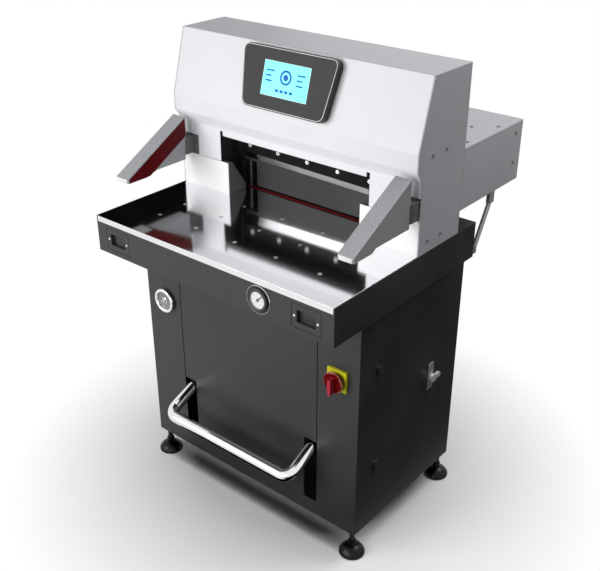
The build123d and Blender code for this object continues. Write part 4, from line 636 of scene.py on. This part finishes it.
# %% Knife bolts in their wells
# A black ring behind each bolt head is painted shade in the bolt's well.
WELL_BEHIND_HEAD = 5.5
knife_bolts = solids("knife_bolts")
bolts, wells = bmesh.new(), bmesh.new()
for low, high in knife_bolts:
    middle, radius = (low + high) / 2, (high.x - low.x) / 2
    profile = [(0, -5.0), (3.2, -4.4), (3.2, 0), (radius - 1.2, 0), (radius, -1.2), (radius, -5.0),
               (4.8, -5.0), (4.8, -18.0), (0, -18.0)]
    turned(bolts, profile, standing(middle.x, low.y, middle.z, "front"), 28)
    well = standing(middle.x, low.y + WELL_BEHIND_HEAD, middle.z, "front")
    turned_ring(wells, 5.6, 8.9, 0.3, -0.2, well, 28)
put("knife_bolt_heads", bolts, bright_head, "knife_beam", ("knife_bolts",))
put("knife_bolt_well_shade", wells, painted_recess_shade, "knife_beam")
print(len(knife_bolts), "knife bolts")

# %% [markdown]
# ## Display
# The touch screen sits in a rounded black case on the sloped front. Its face is a separate dark grey
# fascia with a thin light outline. Each plate could be turned to the slope by hand. Here the slope is
# one matrix: drawing the face flat and laying it on the slope keeps every width and corner readable.

# %% Fascia, outline and screen
FRONT_LEAN = 15.69
SLOPE = shifted(0, -102, 1142) @ Matrix.Rotation(radians(90 - FRONT_LEAN), 4, "X")
CASE_FACE = SLOPE @ shifted(0, 100.3, 22)
CASE_TOP, CASE_FOOT = (157, 78.5), (136, -82.5)
CASE_CORNER = 20.5


def case_plate(name, look, inset, low, high):
    """A plate in the outline of the case, which is narrower at its lower edge, set in from its rim."""
    bm = bmesh.new()
    bmesh.ops.create_cube(bm, size=1)
    for vert in bm.verts:
        half, edge = CASE_TOP if vert.co.y > 0 else CASE_FOOT
        across = (half - inset) if vert.co.x > 0 else (inset - half)
        along = (edge - inset) if vert.co.y > 0 else (edge + inset)
        vert.co = Vector((across, along, high if vert.co.z > 0 else low)) * MM
    upright = [edge for edge in bm.edges if edge.verts[0].co.z != edge.verts[1].co.z]
    bmesh.ops.bevel(bm, geom=upright, affect="EDGES", offset=(CASE_CORNER - inset) * MM, segments=10,
                    profile=0.5, material=-1)
    bmesh.ops.transform(bm, matrix=CASE_FACE, verts=bm.verts)
    put(name, bm, look, "frame")


case_plate("display_outline", outline_grey, 2.4, -0.2, 0.3)
case_plate("display_fascia", fascia_grey, 4.2, 0.0, 0.5)
surround = bmesh.new()
slab(surround, (-76.6, -44.6, 0.3), (76.6, 44.6, 0.7), 0.1, 1, CASE_FACE)
put("display_surround", surround, outline_grey, "frame")
screen = bmesh.new()
slab(screen, (-75.5, -43.5, 0.2), (75.5, 43.5, 0.9), 0.25, 2, CASE_FACE)
put("display_glass", screen, screen_cyan, "frame", ("display_screen",))
print("display pieces", [name for name in pieces if "display" in name])

# %% [markdown]
# ## Picture on the screen
# The screen shows a plain work page of our own: a round dial for the cut, three bars of settings on
# each side and a row of keys. It could be a picture, but that would blur when seen from near.
# It is drawn as thin raised shapes, so it stays sharp at any distance.

# %% A plain page of dial, bars and keys
INK_FOOT, INK_TOP = 0.8, 1.0
DIAL_PLACE = CASE_FACE @ shifted(0, 8, 0)
page = bmesh.new()
turned_ring(page, 13.5, 19, INK_FOOT, INK_TOP, DIAL_PLACE, 56)
turned_disc(page, 8, INK_FOOT, INK_TOP, DIAL_PLACE, 40)
for index, length in enumerate((26, 18, 22)):
    foot, top = 18 - 13 * index, 22 - 13 * index
    for start in (-66, 36):
        slab(page, (start, foot, INK_FOOT), (start + length, top, INK_TOP), place=CASE_FACE)
for index in range(4):
    key_start = -29 + 15.5 * index
    slab(page, (key_start, -31, INK_FOOT), (key_start + 11, -24, INK_TOP), 0.09, 1, CASE_FACE)
put("screen_page", page, screen_blue, "frame")
lamp = bmesh.new()
turned(lamp, [(0, 0.9), (1.2, 0.7), (1.9, 0.2), (1.9, -0.3), (0, -0.3)],
       CASE_FACE @ shifted(62, -57.7, 0.4), 20)
put("power_lamp", lamp, lamp_red, "frame")
print("page faces", len(pieces["screen_page"].data.polygons))

# %% [markdown]
# ## Pressure gauge
# A round gauge shows the clamping pressure. The dial could be a picture on a disc, but turned and
# raised shapes stay sharp. So the bezel is one turned ring with a raised lip, the dial is a white
# disc with ticks over three quarters of a turn, and a thin lens covers them. The pointer is a CAD
# part with its own joint, so the dial only leaves it room.

# %% Bezel and dial
APRON_FRONT = -415
gauge_x, _, gauge_z = middle_of("gauge_case")
GAUGE = standing(gauge_x, APRON_FRONT, gauge_z, "front")
bezel = bmesh.new()
turned(bezel, [(22.6, 2.6), (22.6, 5.4), (24.0, 7.2), (26.0, 8.0), (29.0, 8.0), (31.0, 6.6), (31.5, 4.0),
               (31.5, 1.6), (37.2, 1.6), (38.0, 0.9), (38.0, 0), (28.0, 0), (28.0, -33.0), (0, -33.0),
               (0, 1.0), (22.6, 1.0), (22.6, 2.6)], GAUGE, 64)
put("gauge_bezel", bezel, mark_black, "frame", ("gauge_case",))
ring = bmesh.new()
turned(ring, [(36.9, 1.7), (36.9, 1.3), (37.9, 0.2), (38.0, 0.9), (37.4, 1.7), (36.9, 1.7)], GAUGE, 64)
put("gauge_flange_ring", ring, chrome, "frame")
dial = bmesh.new()
turned_disc(dial, 22.5, 2.9, 1.1, GAUGE, 64)
put("gauge_dial", dial, dial_white, "frame")
print("gauge at", round(gauge_x), round(gauge_z))

# %% Ticks and the red end of the scale
SWEEP_START, SWEEP = radians(225), radians(270)
SPACES = 30
RED_SPACES = range(26, 30)
TICK_END = 21.4


def on_scale(share):
    """The gauge's face, turned so that X points to a share of the scale."""
    return GAUGE @ Matrix.Rotation(SWEEP_START - SWEEP * share, 4, "Z")


ticks = bmesh.new()
for index in range(SPACES + 1):
    length, width = (4.0, 0.7) if index % 5 == 0 else (2.2, 0.35)
    slab(ticks, (TICK_END - length, -width / 2, 2.85), (TICK_END, width / 2, 2.98),
         place=on_scale(index / SPACES))
put("gauge_ticks", ticks, mark_black, "frame")
band = bmesh.new()
for index in RED_SPACES:
    slab(band, (20.4, -1.5, 2.84), (21.6, 1.5, 2.95), place=on_scale((index + 0.5) / SPACES))
put("gauge_red_band", band, mark_red, "frame")
print("ticks", SPACES + 1)

# %% Lens over the scale
lens = bmesh.new()
turned(lens, [(0, 7.6), (12, 7.4), (23.6, 6.6), (23.6, 6.0), (12, 6.8), (0, 7.0)], GAUGE, 56)
put("gauge_lens", lens, clear_lens, "frame")
print("lens faces", len(pieces["gauge_lens"].data.polygons))

# %% Numbers on the dial
NUMBERS = range(0, 28, 4)
NUMBER_CIRCLE = 13.6
digits = bmesh.new()
for index, number in enumerate(NUMBERS):
    words = bpy.data.curves.new("digit", "FONT")
    words.body = str(number)
    words.size = 3.6 * MM
    words.align_x, words.align_y = "CENTER", "CENTER"
    words.extrude = 0.04 * MM
    holder = bpy.data.objects.new("digit", words)
    flat = bpy.data.meshes.new_from_object(holder)
    angle = SWEEP_START - SWEEP * index / (len(NUMBERS) - 1)
    flat.transform(GAUGE @ shifted(NUMBER_CIRCLE * cos(angle), NUMBER_CIRCLE * sin(angle), 2.95))
    digits.from_mesh(flat)
    bpy.data.objects.remove(holder)
    bpy.data.curves.remove(words)
    bpy.data.meshes.remove(flat)
put("gauge_numbers", digits, mark_black, "frame")
print("numbers", *NUMBERS)

# %% [markdown]
# ## Handwheel
# The clamp pressure is set with a small chrome wheel. It is a thick rolled rim on a dished disc with
# a slotted hub. A torus and some cylinders could be joined, but their seams would show in the chrome.
# A full circle spun round makes the rim, and one profile makes dish, hub and spindle.

# %% Rim, dish and hub
RIM_TUBE = 5.5
DISH_RADIUS = 26
wheel_low, wheel_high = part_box("pressure_handwheel")
wheel_x, _, wheel_z = middle_of("pressure_handwheel")
WHEEL = standing(wheel_x, wheel_low.y / MM + RIM_TUBE, wheel_z, "front")
rim_radius = (wheel_high.x - wheel_low.x) / 2 / MM - RIM_TUBE
wheel = bmesh.new()
across_rim = shifted(rim_radius, 0, 0) @ Matrix.Rotation(radians(90), 4, "X")
tube = bmesh.ops.create_circle(wheel, segments=20, radius=RIM_TUBE * MM, matrix=across_rim)["verts"]
bmesh.ops.spin(wheel, geom=tube + list({edge for vert in tube for edge in vert.link_edges}),
               axis=(0, 0, 1), cent=(0, 0, 0), steps=64, angle=2 * pi, use_merge=True)
bmesh.ops.transform(wheel, matrix=WHEEL, verts=wheel.verts)
turned(wheel, [(0, 4.2), (5.6, 4.2), (7.4, 3.2), (8.0, 1.0), (10.5, -0.6), (DISH_RADIUS, -1.6),
               (rim_radius - 3, -0.4), (rim_radius - 3, -3.0), (DISH_RADIUS, -4.4), (9, -3.6), (9, -8),
               (6, -8), (6, -49.0), (0, -49.0)], WHEEL, 56)
put("handwheel_turned", wheel, chrome, "handwheel", ("pressure_handwheel",))
print("the rim's circle is", round(2 * rim_radius, 1), "mm across")

# %% Dark dish, painted slot shade and hub ring
dish = bmesh.new()
turned(dish, [(8.0, 0.6), (10.5, -0.4), (DISH_RADIUS, -1.4), (rim_radius - 3.4, -0.2),
              (rim_radius - 3.4, -0.8), (DISH_RADIUS, -2.0), (9, -1.2), (8.0, 0.6)], WHEEL, 56)
put("handwheel_dish", dish, milled_iron, "handwheel")
# The slot is a thin black block on the hub: painted shade for the slot.
slot_shade = bmesh.new()
slab(slot_shade, (-0.9, -4.6, 3.6), (0.9, 4.6, 4.35), 0.1, 1, WHEEL)
put("handwheel_slot_shade", slot_shade, painted_recess_shade, "handwheel")
hub_ring = bmesh.new()
turned(hub_ring, [(5.0, 4.1), (5.4, 4.5), (7.6, 3.5), (8.3, 1.1), (8.0, 0.9), (7.0, 3.0), (5.0, 4.1)],
       WHEEL, 40)
put("handwheel_hub_ring", hub_ring, milled_iron, "handwheel")
print("handwheel pieces", [name for name in pieces if "handwheel" in name])

# %% [markdown]
# ## Drawers, lock and supply
# Small fittings tell the eye how big the machine is: two screws on each drawer front, a textured
# lock plate with a round collar under the key lever, and a gland where the supply enters at the back.
# Bumps could fake them from the front, but they stand proud of the sheet and show from the side.

# %% Drawer screws
SCREW_FROM_MIDDLE = 35.2
for body, node in (("left_tray", "left_drawer"), ("right_tray", "right_drawer")):
    middle_x, _, middle_z = middle_of(node)
    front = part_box(node)[0].y / MM
    spots = [((middle_x + side * SCREW_FROM_MIDDLE, front, middle_z), "front") for side in (-1, 1)]
    screws(f"{node}_screws", bright_head, body, spots, 3.2, 1.6)
print("drawer fronts at", round(front, 1))

# %% Lock plate and supply gland
DOOR_FACE = 388.0
INLET = standing(-260, 207, 144, "back")
lock_plate = bmesh.new()
slab(lock_plate, (DOOR_FACE, 55.5, 395.0), (DOOR_FACE + 3, 80.5, 480.0), 1.2, 3)
put("door_lock_plate", lock_plate, lock_grey, "door")
collar = bmesh.new()
turned(collar, [(4.2, 2.6), (4.2, 3.4), (9.0, 3.4), (10.2, 2.6), (10.2, 1.0), (4.2, 1.0), (4.2, 2.6)],
       standing(DOOR_FACE, 70, 431.5, "right"), 40)
put("door_lock_collar", collar, chrome, "door")

gland = bmesh.new()
hexagon = [(8.0, 0), (8.0, 3.2), (9.4, 4.6), (14.5, 4.6), (16.5, 3.2), (17.5, 1.0), (17.5, 0), (8.0, 0)]
turned(gland, hexagon, INLET, 6)
collet = [(8.0, 4.2), (8.0, 9.0), (9.2, 10.2), (12.2, 10.2), (13.2, 9.2), (13.2, 4.2), (8.0, 4.2)]
turned(gland, collet, INLET, 32)
put("supply_gland", gland, foot_plastic, "frame")
print("fittings", [name for name in pieces if "lock" in name or "gland" in name])

# %% [markdown]
# ## Arms of the light barrier
# Each arm ends in a pale cap, and its long red window has a dark rim that runs to the tip.
# The rim could be four strips, but their corners would have to be cut to fit. Here it is the window's
# own outer face, inset: the outer ring of the inset takes the dark finish.

# %% Window rims
DARK_SLOT = 1
windows = cad_copy("light_arm_windows")
bmesh.ops.dissolve_limit(windows, angle_limit=radians(1), verts=windows.verts, edges=windows.edges)
broad = [face for face in windows.faces if abs(face.normal.x) > 0.9]
rims = bmesh.ops.inset_individual(windows, faces=broad, thickness=0.9 * MM, depth=0, use_even_offset=True)
for face in rims["faces"]:
    face.material_index = DARK_SLOT
put("light_arm_glazing", windows, [window_red, window_rim], "frame", ("light_arm_windows",))
print("faces of the windows", len(pieces["light_arm_glazing"].data.polygons))

# %% End caps and bracket screws
CAP_LOW, CAP_HIGH = (361, -340.6, 949.6), (402, -334.5, 961.6)
BRACKET_FACE, BRACKET_SCREW_Y = 408.0, -96.0
caps = bmesh.new()
for side in (-1, 1):
    near, far = sorted((side * CAP_LOW[0], side * CAP_HIGH[0]))
    slab(caps, (near, *CAP_LOW[1:]), (far, *CAP_HIGH[1:]), 1.6, 3)
put("light_arm_caps", caps, cap_cream, "frame")

bracket_spots = []
for low, _ in solids("light_arm_brackets"):
    side, facing = (1, "right") if low.x > 0 else (-1, "left")
    for rise in (20.0, 49.0):
        bracket_spots.append(((side * BRACKET_FACE, BRACKET_SCREW_Y, low.z + rise), facing))
screws("bracket_screw_heads", panel_screw_grey, "frame", bracket_spots, 3.0, 0.8)
print(len(pieces), "pieces, and", len(bracket_spots), "bracket screws")

# %% [markdown]
# ## Floor and background
# The photograph shows the machine on white. The floor is pale and takes the shadow, and further out
# it fades into the white of the background. Strong lamps could bleach the floor, but they would
# bleach the machine too. So only what the camera, a mirror or a glass sees is made white, and the
# background adds no light to the object.

# %% Blending by what looks at a surface
def looked_at(tree):
    """One for what the camera sees, directly, in a mirror or through glass, and zero elsewhere."""
    path = tree.nodes.new("ShaderNodeLightPath")
    looking = path.outputs["Is Camera Ray"]
    for name in ("Is Glossy Ray", "Is Transmission Ray"):
        looking = math_step(tree, "MAXIMUM", looking, path.outputs[name])
    return looking


def blended(tree, factor, first, second, output):
    """Shows the first shader where the factor is zero and the second where it is one."""
    blend = tree.nodes.new("ShaderNodeMixShader")
    for socket, value in zip(blend.inputs, (factor, first, second)):
        tree.links.new(value, socket)
    tree.links.new(blend.outputs["Shader"], tree.nodes[output].inputs["Surface"])


# %% White world with a weak sky
SKY_STRENGTH = 0.13
world = bpy.data.worlds.new("studio")
bpy.context.scene.world = world
world.use_nodes = True
sky = world.node_tree
weak = sky.nodes["Background"]
weak.inputs["Color"].default_value = (0.93, 0.96, 1.0, 1)
weak.inputs["Strength"].default_value = SKY_STRENGTH
white = sky.nodes.new("ShaderNodeBackground")
white.inputs["Color"].default_value = (1, 1, 1, 1)
blended(sky, looked_at(sky), weak.outputs["Background"], white.outputs["Background"], "World Output")
print("sky strength", SKY_STRENGTH)

# %% Pale floor that fades to white
FADE_START, FADE_END = 0.35, 0.93
floor_look = finish("studio_floor", (0.86, 0.86, 0.865), 0.6, drift=0.01, cloud=1, grain=60, relief=0.0,
                    level=0.25)
floor_tree = floor_look.node_tree
floor_shader = floor_tree.nodes["Principled BSDF"]
distance = floor_tree.nodes.new("ShaderNodeVectorMath")
distance.operation = "LENGTH"
floor_tree.links.new(object_point(floor_tree), distance.inputs[0])
fade = spread(floor_tree, distance.outputs["Value"], 0.0, 1.0, FADE_START, FADE_END)
floor_seen = looked_at(floor_tree)
far_white = math_step(floor_tree, "MULTIPLY", fade, floor_seen)
print("the floor fades from", FADE_START, "to", FADE_END, "m from the middle")

# %% A calmer floor for everything but the view
calmer = floor_tree.nodes.new("ShaderNodeMix")
calmer.data_type = "RGBA"
calmer.inputs["A"].default_value = (0.25, 0.25, 0.25, 1)
floor_tree.links.new(floor_seen, calmer.inputs["Factor"])
floor_tree.links.new(floor_shader.inputs["Base Color"].links[0].from_socket, calmer.inputs["B"])
floor_tree.links.new(calmer.outputs["Result"], floor_shader.inputs["Base Color"])
paper = floor_tree.nodes.new("ShaderNodeEmission")
blended(floor_tree, far_white, floor_shader.outputs["BSDF"], paper.outputs["Emission"], "Material Output")

floor_bm = bmesh.new()
bmesh.ops.create_grid(floor_bm, x_segments=4, y_segments=4, size=14)
floor = as_object("floor", floor_bm, [floor_look])
print("floor faces", len(floor.data.polygons))

# %% [markdown]
# ## Light
# One sun would draw hard shadows that the photograph doesn't have. Here a large soft lamp in front on
# the left lights the covers, a second above and behind gives the top its tone, and a small weak one
# low in front lifts the shade under the head. Their levels show a colour about as it is written, so
# pale covers don't clip to white.

# %% Soft lamps
def soft_lamp(name, place, aim, size, power):
    """A square lamp that faces a point. Place, aim and size are in metres, and power is in watts."""
    lamp_data = bpy.data.lights.new(name, "AREA")
    lamp_data.size = size
    lamp_data.energy = power
    holder = bpy.data.objects.new(name, lamp_data)
    holder.location = place
    holder.rotation_euler = (Vector(aim) - Vector(place)).to_track_quat("-Z", "Y").to_euler()
    bpy.context.scene.collection.objects.link(holder)


soft_lamp("key_lamp", (-1.3, -2.9, 1.9), (0, -0.1, 0.8), 2.0, 75)
soft_lamp("fill_lamp", (0.4, -1.7, 0.85), (0, 0, 0.95), 0.6, 6)
soft_lamp("top_lamp", (1.2, 1.7, 3.6), (0, 0.1, 0.9), 2.2, 76)
print("lamps", [lamp_data.name for lamp_data in bpy.data.lights])

# %% [markdown]
# ## Dark cards
# Black paint and chrome show what stands around them, and in a white studio that is white. A darker
# paint would not help, because the white is in the gloss. A photographer hangs black cards where the
# gloss looks. One here stands behind the machine on the left and gives the polished table its black
# half. One lies on the floor at the right and in front and keeps the cabinet black: only gloss sees
# it, so the floor stays pale. A narrow skirt under the cabinet keeps lamp light from there, and gloss
# doesn't see that one. The camera sees none of them.

# %% Cards that darken gloss and the space under the cabinet
card_look = finish("card_black", (0.002, 0.002, 0.002), 0.9, drift=0.1, level=0.02)


def dark_card(name, boxes, diffuse=True, glossy=True, shadow=True):
    """A black card of blocks between corners in millimetres, seen by the kinds of rays that are left on."""
    bm = bmesh.new()
    for low, high in boxes:
        slab(bm, low, high)
    card = as_object(name, bm, [card_look])
    card.visible_camera = False
    card.visible_diffuse = diffuse
    card.visible_glossy = glossy
    card.visible_shadow = shadow


dark_card("dark_card", [((-2600, 900, 300), (-900, 960, 3200))])
dark_card("dark_floor_card", [((440, -1600, 1), (3200, 3200, 3)), ((-365, -700, 1), (440, -296, 3))],
          diffuse=False, shadow=False)
dark_card("dark_skirt", [((-365, -300, 18), (365, -296, 80)), ((-365, -296, 18), (-361, 170, 80))],
          glossy=False)

view = bpy.context.scene.view_settings
view.view_transform = "Standard"
print("view", view.view_transform)
